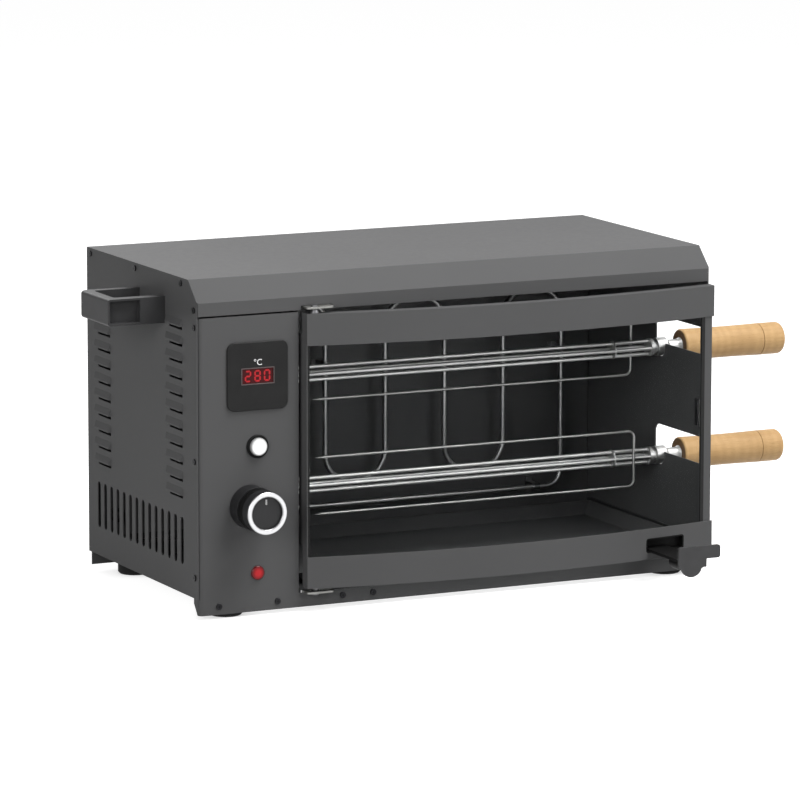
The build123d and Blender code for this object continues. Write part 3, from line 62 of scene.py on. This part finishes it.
# --------------------------------------------------------- shader building blocks
def finish(name, colour, roughness, metallic=0.0, **sockets):
    """A node material: returns its tree, its Principled shader and the material."""
    made = bpy.data.materials.new(name)
    made.use_nodes = True
    tree = made.node_tree
    shader = tree.nodes["Principled BSDF"]
    shader.inputs["Base Color"].default_value = (*colour, 1.0)
    shader.inputs["Roughness"].default_value = roughness
    shader.inputs["Metallic"].default_value = metallic
    for socket, value in sockets.items():
        shader.inputs[socket.replace("_", " ")].default_value = value
    made.diffuse_color = (*colour, 1.0)
    return tree, shader, made


def texture(tree, kind, scale, stretch=(1.0, 1.0, 1.0), **sockets):
    """A noise or wave texture in object coordinates; scale is in features per metre."""
    coordinates = tree.nodes.new("ShaderNodeTexCoord")
    mapping = tree.nodes.new("ShaderNodeMapping")
    mapping.inputs["Scale"].default_value = stretch
    pattern = tree.nodes.new(kind)
    pattern.inputs["Scale"].default_value = scale
    for socket, value in sockets.items():
        pattern.inputs[socket.replace("_", " ")].default_value = value
    tree.links.new(coordinates.outputs["Object"], mapping.inputs["Vector"])
    tree.links.new(mapping.outputs["Vector"], pattern.inputs["Vector"])
    return pattern.outputs["Fac"]


def noise(tree, scale, stretch=(1.0, 1.0, 1.0), detail=3.0):
    """Cloudy noise, from 0 to 1 and mostly near 0.5."""
    return texture(tree, "ShaderNodeTexNoise", scale, stretch, Detail=detail)


def spread(tree, value, low, high, start=0.35, end=0.65):
    """Maps a value's range from start to end onto low to high, and holds it there outside."""
    ramp = tree.nodes.new("ShaderNodeMapRange")
    ramp.inputs["From Min"].default_value = start
    ramp.inputs["From Max"].default_value = end
    ramp.inputs["To Min"].default_value = low
    ramp.inputs["To Max"].default_value = high
    tree.links.new(value, ramp.inputs["Value"])
    return ramp.outputs["Result"]


def blend(tree, factor, first, second):
    """A colour between two others, each a colour or a socket."""
    mix = tree.nodes.new("ShaderNodeMix")
    mix.data_type = "RGBA"
    for socket, value in ((MIX_FACTOR, factor), (MIX_FIRST, first), (MIX_SECOND, second)):
        if isinstance(value, bpy.types.NodeSocket):
            tree.links.new(value, mix.inputs[socket])
        elif socket == MIX_FACTOR:
            mix.inputs[socket].default_value = value
        else:
            mix.inputs[socket].default_value = (*value, 1.0)
    return mix.outputs[MIX_RESULT]


def seen_by(tree, *rays):
    """1 for the named kinds of ray and 0 for the others."""
    path = tree.nodes.new("ShaderNodeLightPath")
    total = path.outputs[rays[0]]
    for ray in rays[1:]:
        either = tree.nodes.new("ShaderNodeMath")
        either.operation = "MAXIMUM"
        tree.links.new(total, either.inputs[0])
        tree.links.new(path.outputs[ray], either.inputs[1])
        total = either.outputs["Value"]
    return total


def background_rays(tree):
    """1 for the rays that meet a white background, and 0 for those that carry light to the object."""
    return seen_by(tree, "Is Camera Ray", "Is Glossy Ray", "Is Transmission Ray")


def from_point(tree, point, near, far):
    """0 within near of a point and rising to 1 at far from it."""
    coordinates = tree.nodes.new("ShaderNodeTexCoord")
    distance = tree.nodes.new("ShaderNodeVectorMath")
    distance.operation = "DISTANCE"
    distance.inputs[1].default_value = point
    tree.links.new(coordinates.outputs["Object"], distance.inputs[0])
    return spread(tree, distance.outputs["Value"], 0.0, 1.0, near, far)


def shade(colour, factor):
    """A darker or lighter version of a colour."""
    return tuple(min(1.0, channel * factor) for channel in colour)


def edges(tree, radius):
    """0 on open faces and rising to 1 on sharp edges, from the bevelled normal."""
    bevel = tree.nodes.new("ShaderNodeBevel")
    bevel.samples = 4
    bevel.inputs["Radius"].default_value = radius
    geometry = tree.nodes.new("ShaderNodeNewGeometry")
    dot = tree.nodes.new("ShaderNodeVectorMath")
    dot.operation = "DOT_PRODUCT"
    tree.links.new(bevel.outputs["Normal"], dot.inputs[0])
    tree.links.new(geometry.outputs["Normal"], dot.inputs[1])
    return spread(tree, dot.outputs["Value"], 1.0, 0.0, 0.75, 0.99)


def relief(tree, shader, height, depth, edge_radius=0.4 * MM, strength=1.0):
    """Bump from a texture, over edges that are rounded by edge_radius."""
    bevel = tree.nodes.new("ShaderNodeBevel")
    bevel.samples = 4
    bevel.inputs["Radius"].default_value = edge_radius
    bump = tree.nodes.new("ShaderNodeBump")
    bump.inputs["Distance"].default_value = depth
    bump.inputs["Strength"].default_value = strength
    tree.links.new(height, bump.inputs["Height"])
    tree.links.new(bevel.outputs["Normal"], bump.inputs["Normal"])
    tree.links.new(bump.outputs["Normal"], shader.inputs["Normal"])


# ------------------------------------------------------------------ materials
def powder_coat(name, colour, roughness=0.46, peel=0.35, gloss=0.12):
    """Satin powder coat: fine orange peel, faint clouding, edges rubbed a little lighter."""
    tree, shader, made = finish(name, colour, roughness, Specular_IOR_Level=gloss)
    cloud = noise(tree, 7.0, detail=2.0)
    body = blend(tree, spread(tree, cloud, 0.0, 1.0), shade(colour, 0.98), shade(colour, 1.02))
    worn = blend(tree, edges(tree, 0.6 * MM), body, shade(colour, 1.35))
    tree.links.new(worn, shader.inputs["Base Color"])
    satin = spread(tree, noise(tree, 160.0), roughness - 0.01, roughness + 0.015)
    tree.links.new(satin, shader.inputs["Roughness"])
    relief(tree, shader, noise(tree, 420.0, detail=2.0), 0.03 * MM, strength=peel)
    return made


def moulded(name, colour, roughness=0.5, grain=700.0, depth=0.03 * MM, gloss=0.4):
    """Moulded plastic or rubber: fine grain and slightly paler edges."""
    tree, shader, made = finish(name, colour, roughness, Specular_IOR_Level=gloss)
    cloud = noise(tree, 40.0, detail=2.0)
    body = blend(tree, spread(tree, cloud, 0.0, 1.0), shade(colour, 0.9), shade(colour, 1.1))
    worn = blend(tree, edges(tree, 0.5 * MM), body, shade(colour, 1.5))
    tree.links.new(worn, shader.inputs["Base Color"])
    relief(tree, shader, noise(tree, grain, detail=2.0), depth, strength=0.6)
    return made


def bare_metal(name, colour, roughness, stretch=(1.0, 1.0, 1.0), depth=0.01 * MM, tarnish=0.85):
    """Metal with fine lines along one direction and a slightly uneven tone."""
    tree, shader, made = finish(name, colour, roughness, metallic=1.0)
    lines = noise(tree, 500.0, stretch, detail=4.0)
    cloud = noise(tree, 25.0, detail=3.0)
    tone = blend(tree, spread(tree, cloud, 0.0, 1.0), shade(colour, tarnish), colour)
    tree.links.new(tone, shader.inputs["Base Color"])
    tree.links.new(spread(tree, lines, roughness * 0.8, roughness * 1.25), shader.inputs["Roughness"])
    relief(tree, shader, lines, depth, strength=0.4)
    return made


def ring_with_painted_edge_shade(name, node, colour, roughness):
    """Turned metal ring: bright on its face, with painted shade darkening its colour towards the
    rounded inner and outer edges.
    """
    tree, shader, made = finish(name, colour, roughness, metallic=1.0)
    low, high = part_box(node)
    centre = middle(node)
    centre.y = low[1]
    radius = (high[0] - low[0]) / 2
    past_inner_edge = from_point(tree, centre, radius - 5.0 * MM, radius - 3.6 * MM)
    near_outer_edge = from_point(tree, centre, radius - 1.1 * MM, radius)
    # painted shade: the colour darkens towards the rounded inner and outer edges
    tone = blend(tree, past_inner_edge, shade(colour, 0.25), colour)
    tone = blend(tree, near_outer_edge, tone, shade(colour, 0.35))
    tree.links.new(tone, shader.inputs["Base Color"])
    relief(tree, shader, noise(tree, 900.0, detail=2.0), 0.01 * MM, strength=0.3)
    return made


def facing_along_x(tree):
    """1 on faces that look along X and 0 on the rest, such as the end grain of a turned handle."""
    geometry = tree.nodes.new("ShaderNodeNewGeometry")
    split = tree.nodes.new("ShaderNodeSeparateXYZ")
    size = tree.nodes.new("ShaderNodeMath")
    size.operation = "ABSOLUTE"
    tree.links.new(geometry.outputs["Normal"], split.inputs["Vector"])
    tree.links.new(split.outputs["X"], size.inputs[0])
    return spread(tree, size.outputs["Value"], 0.0, 1.0, 0.75, 0.97)


def turned_wood():
    """Pale hardwood: growth rings that cross the handle, fine flecks along it, and end faces darker as
    end grain and darker still as painted shade.
    """
    tree, shader, made = finish("pale_wood", (0.46, 0.29, 0.13), 0.5, Specular_IOR_Level=0.25)
    rings = texture(
        tree, "ShaderNodeTexWave", 30.0, (1.0, 0.45, 0.45),
        Distortion=5.0, Detail=2.0, Detail_Scale=0.7,
    )
    patches = noise(tree, 45.0, (0.6, 1.0, 1.0), detail=4.0)
    streaks = noise(tree, 420.0, (0.12, 1.0, 1.0), detail=4.0)
    pores = noise(tree, 1400.0, (0.16, 1.0, 1.0), detail=2.0)
    pale_ring = (0.475, 0.302, 0.137)
    dark_ring = (0.44, 0.275, 0.122)
    patch = (0.38, 0.23, 0.097)
    streak = (0.35, 0.205, 0.086)
    pore = (0.27, 0.15, 0.058)
    end_grain_and_shade = (0.17, 0.095, 0.045)
    body = blend(tree, spread(tree, rings, 0.0, 1.0, 0.1, 0.9), pale_ring, dark_ring)
    body = blend(tree, spread(tree, patches, 0.0, 0.65, 0.42, 0.72), body, patch)
    body = blend(tree, spread(tree, streaks, 0.0, 0.55, 0.46, 0.75), body, streak)
    body = blend(tree, spread(tree, pores, 0.0, 0.5, 0.58, 0.75), body, pore)
    # the end faces are darker end grain, darkened further by painted shade
    body = blend(tree, facing_along_x(tree), body, end_grain_and_shade)
    tree.links.new(body, shader.inputs["Base Color"])
    relief(tree, shader, pores, 0.05 * MM, edge_radius=0.8 * MM, strength=0.5)
    return made


def clear_glass():
    """Float glass: a see-through sheet that reflects more at a slant, with a faint smear."""
    made = bpy.data.materials.new("door_glass")
    made.use_nodes = True
    tree = made.node_tree
    shader = tree.nodes["Principled BSDF"]
    shader.inputs["Base Color"].default_value = (0.95, 0.96, 0.96, 1.0)
    shader.inputs["Transmission Weight"].default_value = 1.0
    # lower than real glass: at a higher one the white surroundings veil the dark cavity
    shader.inputs["IOR"].default_value = 1.04
    smear = noise(tree, 9.0, (1.0, 1.0, 2.5))
    tree.links.new(spread(tree, smear, 0.0, 0.015, 0.4, 0.8), shader.inputs["Roughness"])
    clear = tree.nodes.new("ShaderNodeBsdfTransparent")
    clear.inputs["Color"].default_value = (0.92, 0.93, 0.93, 1.0)
    either = tree.nodes.new("ShaderNodeMixShader")
    output = tree.nodes["Material Output"]
    # light reaches what is behind the sheet straight through it
    tree.links.new(seen_by(tree, "Is Shadow Ray", "Is Diffuse Ray"), either.inputs[0])
    tree.links.new(shader.outputs["BSDF"], either.inputs[1])
    tree.links.new(clear.outputs["BSDF"], either.inputs[2])
    tree.links.new(either.outputs["Shader"], output.inputs["Surface"])
    return made


def glowing(name, colour, strength, base=(0.2, 0.01, 0.01)):
    """A lit surface, a little uneven."""
    tree, shader, made = finish(name, base, 0.4, Specular_IOR_Level=0.12)
    glow = blend(tree, spread(tree, noise(tree, 400.0), 0.0, 1.0), shade(colour, 0.85), colour)
    tree.links.new(glow, shader.inputs["Emission Color"])
    shader.inputs["Emission Strength"].default_value = strength
    return made


def disc_with_painted_rim_shade(name, node, inside, rim, near, far, roughness, strength=0.0):
    """A round face with a darker rim of painted shade, and lit from inside if strength is given."""
    tree, shader, made = finish(name, inside, roughness, Specular_IOR_Level=0.2)
    centre = middle(node)
    centre.y = front_of(node)
    grain = blend(tree, spread(tree, noise(tree, 300.0), 0.0, 1.0), shade(inside, 0.96), inside)
    # the darker rim is painted shade on the rounded edge
    face = blend(tree, from_point(tree, centre, near, far), grain, rim)
    tree.links.new(face, shader.inputs["Base Color"])
    if strength:
        tree.links.new(face, shader.inputs["Emission Color"])
        shader.inputs["Emission Strength"].default_value = strength
    return made


charcoal = powder_coat("charcoal_powder_coat", (0.080, 0.080, 0.081), 0.45, peel=0.08, gloss=0.03)
base_paint = powder_coat("base_paint", (0.036, 0.036, 0.037), 0.5, peel=0.1)
dark_paint = powder_coat("dark_paint", (0.080, 0.080, 0.081), 0.5, peel=0.1)
wall_enamel = powder_coat("wall_enamel", (0.085, 0.085, 0.086), 0.34, peel=0.03, gloss=0.16)
black_plastic = moulded("black_plastic", (0.012, 0.012, 0.013), 0.42, gloss=0.28)
matt_plastic = moulded("matt_black_plastic", (0.013, 0.013, 0.013), 0.5, gloss=0.12)
deep_plastic = moulded("deep_black_plastic", (0.004, 0.004, 0.004), 0.5, gloss=0.08)
handle_plastic = moulded("handle_plastic", (0.034, 0.034, 0.035), 0.5, gloss=0.12)
pull_plastic = moulded("charcoal_plastic", (0.045, 0.045, 0.046), 0.5, gloss=0.15)
rubber = moulded("black_rubber", (0.010, 0.010, 0.010), 0.75, grain=400.0, depth=0.06 * MM, gloss=0.2)
galvanised = bare_metal("galvanised_sheet", (0.52, 0.53, 0.54), 0.42, tarnish=0.75)
bright_steel = bare_metal("bright_steel", (0.44, 0.44, 0.435), 0.42, (0.05, 1.0, 1.0), tarnish=0.92)
fork_steel = bare_metal("fork_steel", (0.26, 0.26, 0.255), 0.36, (0.05, 1.0, 1.0))
heater_steel = bare_metal("heater_sheath", (0.34, 0.34, 0.34), 0.38, (1.0, 1.0, 0.1), tarnish=0.75)
zinc = bare_metal("zinc_plate", (0.24, 0.24, 0.23), 0.5, (0.1, 1.0, 1.0))
dark_steel = bare_metal("blackened_steel", (0.16, 0.16, 0.165), 0.4)
black_screw = bare_metal("blackened_screw", (0.022, 0.022, 0.024), 0.45)
polished = ring_with_painted_edge_shade("polished_aluminium", "knob_ring", (0.60, 0.60, 0.61), 0.34)
bronze = bare_metal("bronze", (0.55, 0.36, 0.18), 0.35)
nylon = moulded("nylon", (0.72, 0.70, 0.64), 0.45)
ceramic = moulded("ceramic", (0.74, 0.72, 0.66), 0.6, grain=900.0, depth=0.05 * MM)
# the grey rim on the white cap is painted shade on its rounded edge
white_plastic = disc_with_painted_rim_shade(
    "white_plastic", "button_cap", inside=(0.90, 0.90, 0.90), rim=(0.25, 0.25, 0.25),
    near=7.2 * MM, far=9.4 * MM, roughness=0.3,
)
board_green = moulded("board_green", (0.02, 0.13, 0.05), 0.4)
motor_grey = powder_coat("motor_grey", (0.28, 0.28, 0.30))
wood = turned_wood()
glass = clear_glass()
red_lens = disc_with_painted_rim_shade(
    "red_lens", "pilot_lamp", inside=(0.38, 0.014, 0.018), rim=(0.07, 0.004, 0.005),
    near=2.5 * MM, far=7.0 * MM, roughness=0.35, strength=0.20,
)
display_red = glowing("display_window", (0.16, 0.006, 0.008), 0.10, base=(0.035, 0.004, 0.005))
digit_red = glowing("display_digits", (0.60, 0.03, 0.045), 0.45)
print_white = moulded("printed_white", (0.80, 0.80, 0.80), 0.5)
print_grey = moulded("printed_grey", (0.42, 0.42, 0.42), 0.5)
border_grey = moulded("window_border", (0.10, 0.08, 0.08), 0.5, gloss=0.1)

# the CAD nodes that each material is on
finishes = {
    charcoal: "front_panel lid left_side_panel right_side_panel back_panel "
              "door_top_rail door_bottom_rail door_left_stile door_right_stile",
    galvanised: "motor_bracket bracket_standoffs",
    base_paint: "base_pan",
    dark_paint: "partition_wall drip_tray",
    wall_enamel: "cavity_back_wall",
    bright_steel: "lower_skewer upper_skewer lower_spindle upper_spindle motor_shaft thermostat_shaft",
    fork_steel: "lower_fork upper_fork",
    heater_steel: "heating_element",
    zinc: "upper_hinge_plate lower_hinge_plate catch_plate",
    dark_steel: "hinge_pins hinge_bushes heater_clips",
    black_screw: "panel_screws handle_screws",
    black_plastic: "knob thermostat_body catch_magnet terminal_block",
    matt_plastic: "display_bezel",
    deep_plastic: "button_bezel pull_pocket pull_tongue",
    handle_plastic: "carry_handle",
    pull_plastic: "door_pull",
    rubber: "feet cord_gland glass_seals",
    polished: "knob_ring",
    white_plastic: "button_cap",
    nylon: "lower_gear upper_gear drive_pinion",
    bronze: "spindle_bushes",
    red_lens: "pilot_lamp",
    display_red: "display_window",
    board_green: "control_board",
    ceramic: "heater_insulators",
    motor_grey: "gearmotor",
    glass: "door_glass",
    wood: "lower_wooden_handle upper_wooden_handle",
}
for look, names in finishes.items():
    for name in names.split():
        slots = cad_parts[name].data.materials
        slots.clear()
        slots.append(look)


# ------------------------------------------------------------- piece helpers
def piece(name, shape, look, body):
    """Turns a bmesh into a named piece that rides on a body."""
    mesh = bpy.data.meshes.new(name)
    bmesh.ops.recalc_face_normals(shape, faces=shape.faces)
    shape.to_mesh(mesh)
    shape.free()
    mesh.materials.append(look)
    made = bpy.data.objects.new(name, mesh)
    bpy.context.collection.objects.link(made)
    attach(made, body)
    return made


def prism(shape, near, far):
    """A solid between two outlines that have the same number of points."""
    front = [shape.verts.new(point) for point in near]
    back = [shape.verts.new(point) for point in far]
    shape.faces.new(front)
    shape.faces.new(reversed(back))
    for index in range(len(front)):
        after = (index + 1) % len(front)
        shape.faces.new((front[index], back[index], back[after], front[after]))


def raised(shape, outline, y, thickness):
    """A flat plate in the X-Z plane, given by its outline, from y towards the user."""
    prism(shape, [(x, y - thickness, z) for x, z in outline], [(x, y, z) for x, z in outline])


def rectangle(left, right, bottom, top):
    """The corners of an upright rectangle, as (x, z)."""
    return [(left, bottom), (right, bottom), (right, top), (left, top)]


def sleeve(shape, centre, profile, steps=64):
    """A ring turned about an axis along Y through centre, from its closed profile of (radius, y)."""
    rings = []
    for step in range(steps):
        turn = 2 * math.pi * step / steps
        rings.append([
            shape.verts.new((centre.x + radius * math.cos(turn), y, centre.z + radius * math.sin(turn)))
            for radius, y in profile
        ])
    for step, ring in enumerate(rings):
        following = rings[(step + 1) % steps]
        for index in range(len(profile)):
            after = (index + 1) % len(profile)
            shape.faces.new((ring[index], following[index], following[after], ring[after]))


def islands(mesh):
    """The low and high corners of each connected part of a mesh."""
    shape = bmesh.new()
    shape.from_mesh(mesh)
    seen = set()
    boxes = []
    for first in shape.verts:
        if first.index in seen:
            continue
        seen.add(first.index)
        waiting = [first]
        found = []
        while waiting:
            vert = waiting.pop()
            found.append(vert.co.copy())
            for edge in vert.link_edges:
                other = edge.other_vert(vert)
                if other.index not in seen:
                    seen.add(other.index)
                    waiting.append(other)
        low = Vector([min(point[axis] for point in found) for axis in range(3)])
        high = Vector([max(point[axis] for point in found) for axis in range(3)])
        boxes.append((low, high))
    shape.free()
    return boxes


def cross(shape, centre, axis, outward, reach, half_width, height):
    """A flat plus sign on a plane across an axis, facing outward (+1 or -1)."""
    units = [Vector([float(index == other) for index in range(3)]) for other in range(3)]
    away = units.pop(axis) * outward
    across, along = units
    outline = []
    arm = [(-half_width, -reach), (half_width, -reach), (half_width, -half_width)]
    for quarter in range(4):
        outline += arm
        arm = [(-b, a) for a, b in arm]
    base = [centre + across * a + along * b for a, b in outline]
    prism(shape, [point + away * height for point in base], base)


# ------------------------------------------------------------------- display
# each bar of a digit runs between two of these places, in half widths and half heights
SEGMENT_ENDS = {
    "a": ((-1, 1), (1, 1)),
    "b": ((1, 1), (1, 0)),
    "c": ((1, 0), (1, -1)),
    "d": ((-1, -1), (1, -1)),
    "e": ((-1, 0), (-1, -1)),
    "f": ((-1, 1), (-1, 0)),
    "g": ((-1, 0), (1, 0)),
}
LIT_SEGMENTS = {"2": "abged", "8": "abcdefg", "0": "abcdef"}
DIGIT_WIDTH = 7.4 * MM
DIGIT_HEIGHT = 12.2 * MM
DIGIT_PITCH = 10.8 * MM
DIGIT_THICKNESS = 0.15 * MM
STROKE = 1.8 * MM
BAR_GAP = 0.12 * STROKE
BORDER_INSET = 1.5 * MM
BORDER_LINE = 1.0 * MM
BORDER_THICKNESS = 0.12 * MM
LABEL_SIZE = 9.0 * MM
LABEL_GAP = 3.5 * MM
LABEL_HALF_THICKNESS = 0.06 * MM


def seven_segment(shape, x, z, y, digit):
    """One digit of lit bars with pointed ends, centred on x and z."""
    half_width = (DIGIT_WIDTH - STROKE) / 2
    half_height = (DIGIT_HEIGHT - STROKE) / 2
    for bar in LIT_SEGMENTS[digit]:
        start, end = [Vector((x + a * half_width, z + b * half_height)) for a, b in SEGMENT_ENDS[bar]]
        along = (end - start).normalized()
        across = Vector((-along.y, along.x)) * STROKE / 2
        tip = along * STROKE / 2
        start = start + along * BAR_GAP
        end = end - along * BAR_GAP
        outline = [start, start + tip + across, end - tip + across]
        outline += [end, end - tip - across, start + tip - across]
        raised(shape, outline, y, DIGIT_THICKNESS)


window = middle("display_window")
window_face = front_of("display_window")
bezel_face = front_of("display_bezel")
digits = bmesh.new()
for place, digit in enumerate("280"):
    seven_segment(digits, window.x + (place - 1) * DIGIT_PITCH, window.z, window_face, digit)
piece("display_digits", digits, digit_red, "cabinet")

low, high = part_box("display_window")
border_inner_x = (high[0] - low[0]) / 2 - BORDER_INSET
border_inner_z = (high[2] - low[2]) / 2 - BORDER_INSET
border_outer_x = border_inner_x + BORDER_LINE
border_outer_z = border_inner_z + BORDER_LINE
border = bmesh.new()
for side in (-1, 1):
    flat_bar = rectangle(
        window.x - border_outer_x, window.x + border_outer_x,
        window.z + side * border_inner_z, window.z + side * border_outer_z,
    )
    upright_bar = rectangle(
        window.x + side * border_inner_x, window.x + side * border_outer_x,
        window.z - border_inner_z, window.z + border_inner_z,
    )
    raised(border, flat_bar, bezel_face, BORDER_THICKNESS)
    raised(border, upright_bar, bezel_face, BORDER_THICKNESS)
piece("display_border", border, border_grey, "cabinet")

# a plain degree sign and C above the window
words = bpy.data.curves.new("degree_label", "FONT")
words.body = "°C"
words.size = LABEL_SIZE
words.extrude = LABEL_HALF_THICKNESS
words.align_x = "CENTER"
label = bpy.data.objects.new("degree_label", words)
label.data.materials.append(print_white)
label.location = (
    window.x,
    bezel_face - LABEL_HALF_THICKNESS,
    window.z + border_inner_z + LABEL_GAP,
)
label.rotation_euler = (math.radians(90), 0, 0)
bpy.context.collection.objects.link(label)
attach(label, "cabinet")

# -------------------------------------------------------------- knob pointer
POINTER_HALF_WIDTH = 0.9 * MM
POINTER_START = 8.8 * MM
POINTER_END = 14.2 * MM
POINTER_THICKNESS = 0.2 * MM
DISH_DEPTH = 3.5 * MM

knob = middle("knob")
dished_face = front_of("knob_ring") + DISH_DEPTH
pointer_bar = rectangle(
    knob.x - POINTER_HALF_WIDTH, knob.x + POINTER_HALF_WIDTH,
    knob.z + POINTER_START, knob.z + POINTER_END,
)
pointer = bmesh.new()
raised(pointer, pointer_bar, dished_face, POINTER_THICKNESS)
piece("knob_pointer", pointer, print_grey, "thermostat_knob")

# ------------------------------------------------------- painted shade in screw drive recesses
# each face of a screw is an island of the frame's mesh, and the wall round its head is the one
# that is this thick and no wider than this
THINNEST_HEAD = 1.0 * MM
THICKEST_HEAD = 2.0 * MM
WIDEST_HEAD = 7.0 * MM
CROSS_REACH = 1.7 * MM
CROSS_HALF_WIDTH = 0.4 * MM
CROSS_HEIGHT = 0.05 * MM

cabinet_middle = middle("lid")
# each head gets a flat black plus sign: painted shade standing in for its cross recess
crosses = bmesh.new()
for low, high in islands(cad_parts["panel_screws"].data):
    size = high - low
    axis = min(range(3), key=lambda index: size[index])
    if THINNEST_HEAD < size[axis] < THICKEST_HEAD and max(size) < WIDEST_HEAD:
        centre = (low + high) / 2
        outward = 1.0 if centre[axis] > cabinet_middle[axis] else -1.0
        centre[axis] = high[axis] if outward > 0 else low[axis]
        cross(crosses, centre, axis, outward, CROSS_REACH, CROSS_HALF_WIDTH, CROSS_HEIGHT)
piece("screw_recess_shade", crosses, deep_plastic, "cabinet")

# ----------------------------------------------------------------- painted groove shade on the knob
# a deep black sleeve in the groove between the knob's skirt and its body: painted shade where the
# groove lies in shadow
BAND_START = 21.0 * MM
BAND_LENGTH = 9.0 * MM
BAND_DEPTH = 1.6 * MM
BAND_INSET = 0.35 * MM
BAND_CHAMFER = 0.3 * MM

knob_low, knob_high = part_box("knob")
skirt_radius = (knob_high[0] - knob_low[0]) / 2
band_back = knob_high[1] - BAND_START
band_front = band_back - BAND_LENGTH
band_inner = skirt_radius - BAND_DEPTH
band_outer = skirt_radius - BAND_INSET
band_profile = [
    (band_inner, band_back),
    (band_outer - BAND_CHAMFER, band_back),
    (band_outer, band_back - BAND_CHAMFER),
    (band_outer, band_front + BAND_CHAMFER),
    (band_outer - BAND_CHAMFER, band_front),
    (band_inner, band_front),
]
band = bmesh.new()
sleeve(band, knob, band_profile)
piece("knob_groove_shade", band, deep_plastic, "thermostat_knob")

# ---------------------------------------------------------------- the studio
FLOOR_HALF_SIZE = 12.0
FLOOR_COLOUR = (0.50, 0.50, 0.50)
OPEN_GLOW = 0.91
# glow of the floor right against the object, for a painted contact shadow
PAINTED_SHADOW_GLOW = 0.50
CONTACT_DISTANCE = 22.0 * MM
BACKGROUND = 1.0
AMBIENT = 0.12

floor_mesh = bmesh.new()
bmesh.ops.create_grid(floor_mesh, x_segments=1, y_segments=1, size=FLOOR_HALF_SIZE)
ground = bpy.data.meshes.new("floor")
floor_mesh.to_mesh(ground)
floor_mesh.free()
floor = bpy.data.objects.new("floor", ground)
bpy.context.collection.objects.link(floor)
tree, shader, floor_look = finish("pale_floor", FLOOR_COLOUR, 0.9, Specular_IOR_Level=0.0)
shader.inputs["Emission Color"].default_value = (1.0, 1.0, 1.0, 1.0)
# the floor looks white, and its glow is dimmed by ambient occlusion where something stands close to it:
# a painted contact shadow
contact = tree.nodes.new("ShaderNodeAmbientOcclusion")
contact.samples = 8
contact.inputs["Distance"].default_value = CONTACT_DISTANCE
glow = tree.nodes.new("ShaderNodeMath")
glow.operation = "MULTIPLY"
openness = spread(tree, contact.outputs["AO"], PAINTED_SHADOW_GLOW, OPEN_GLOW, 0.1, 1.0)
tree.links.new(openness, glow.inputs[0])
tree.links.new(background_rays(tree), glow.inputs[1])
tree.links.new(glow.outputs["Value"], shader.inputs["Emission Strength"])
ground.materials.append(floor_look)

world = bpy.data.worlds.new("studio")
bpy.context.scene.world = world
world.use_nodes = True
tree = world.node_tree
tree.nodes["Background"].inputs["Color"].default_value = (1.0, 1.0, 1.0, 1.0)
brightness = spread(tree, background_rays(tree), AMBIENT, BACKGROUND, 0.0, 1.0)
tree.links.new(brightness, tree.nodes["Background"].inputs["Strength"])


def softbox(name, position, target, size, power):
    """A rectangular area light that faces a target; size in metres and power in watts."""
    lamp = bpy.data.lights.new(name, "AREA")
    lamp.shape = "RECTANGLE"
    lamp.size, lamp.size_y = size
    lamp.energy = power
    made = bpy.data.objects.new(name, lamp)
    made.location = position
    made.rotation_euler = (Vector(target) - Vector(position)).to_track_quat("-Z", "Y").to_euler()
    bpy.context.collection.objects.link(made)


softbox("key", (1.5, -2.8, 1.5), (0.0, 0.0, 0.2), (1.8, 1.4), 33.0)
softbox("fill", (-2.7, -1.9, 1.2), (0.0, 0.0, 0.15), (1.8, 1.4), 47.0)
softbox("top", (0.6, -0.9, 2.5), (0.0, 0.0, 0.3), (1.6, 1.4), 94.0)
softbox("back", (0.1, 2.9, 2.0), (0.0, 0.0, 0.2), (1.6, 1.2), 34.0)


def camera(position, yaw, pitch, roll, focal):
    """A camera by its heading from +Y towards +X, its dip and its roll; the sensor is 36 mm wide."""
    ahead = Vector((math.sin(yaw) * math.cos(pitch), math.cos(yaw) * math.cos(pitch), -math.sin(pitch)))
    level_right = ahead.cross(Vector((0, 0, 1))).normalized()
    level_up = level_right.cross(ahead)
    right = level_right * math.cos(roll) + level_up * math.sin(roll)
    up = level_up * math.cos(roll) - level_right * math.sin(roll)
    data = bpy.data.cameras.new("camera")
    data.sensor_width = 36.0
    data.lens = focal
    data.clip_end = 50.0
    made = bpy.data.objects.new("camera", data)
    turn = Matrix((right, up, -ahead)).transposed()
    made.matrix_world = Matrix.Translation(position) @ turn.to_4x4()
    bpy.context.collection.objects.link(made)
    bpy.context.scene.camera = made


# the camera's place is measured from the cabinet's front left edge, one sheet outside the front panel
SIDE_SHEET = 1.2 * MM
CAMERA_TO_LEFT = 2.1997
CAMERA_TO_FRONT = 5.0118
CAMERA_HEIGHT = 1.1617
FOCAL_LENGTH = 242.89

panel_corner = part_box("front_panel")[0]
camera(
    (panel_corner[0] - SIDE_SHEET - CAMERA_TO_LEFT, panel_corner[1] - CAMERA_TO_FRONT, CAMERA_HEIGHT),
    yaw=math.radians(25.878), pitch=math.radians(9.642), roll=math.radians(0.088), focal=FOCAL_LENGTH,
)
bpy.context.scene.view_settings.view_transform = "Standard"
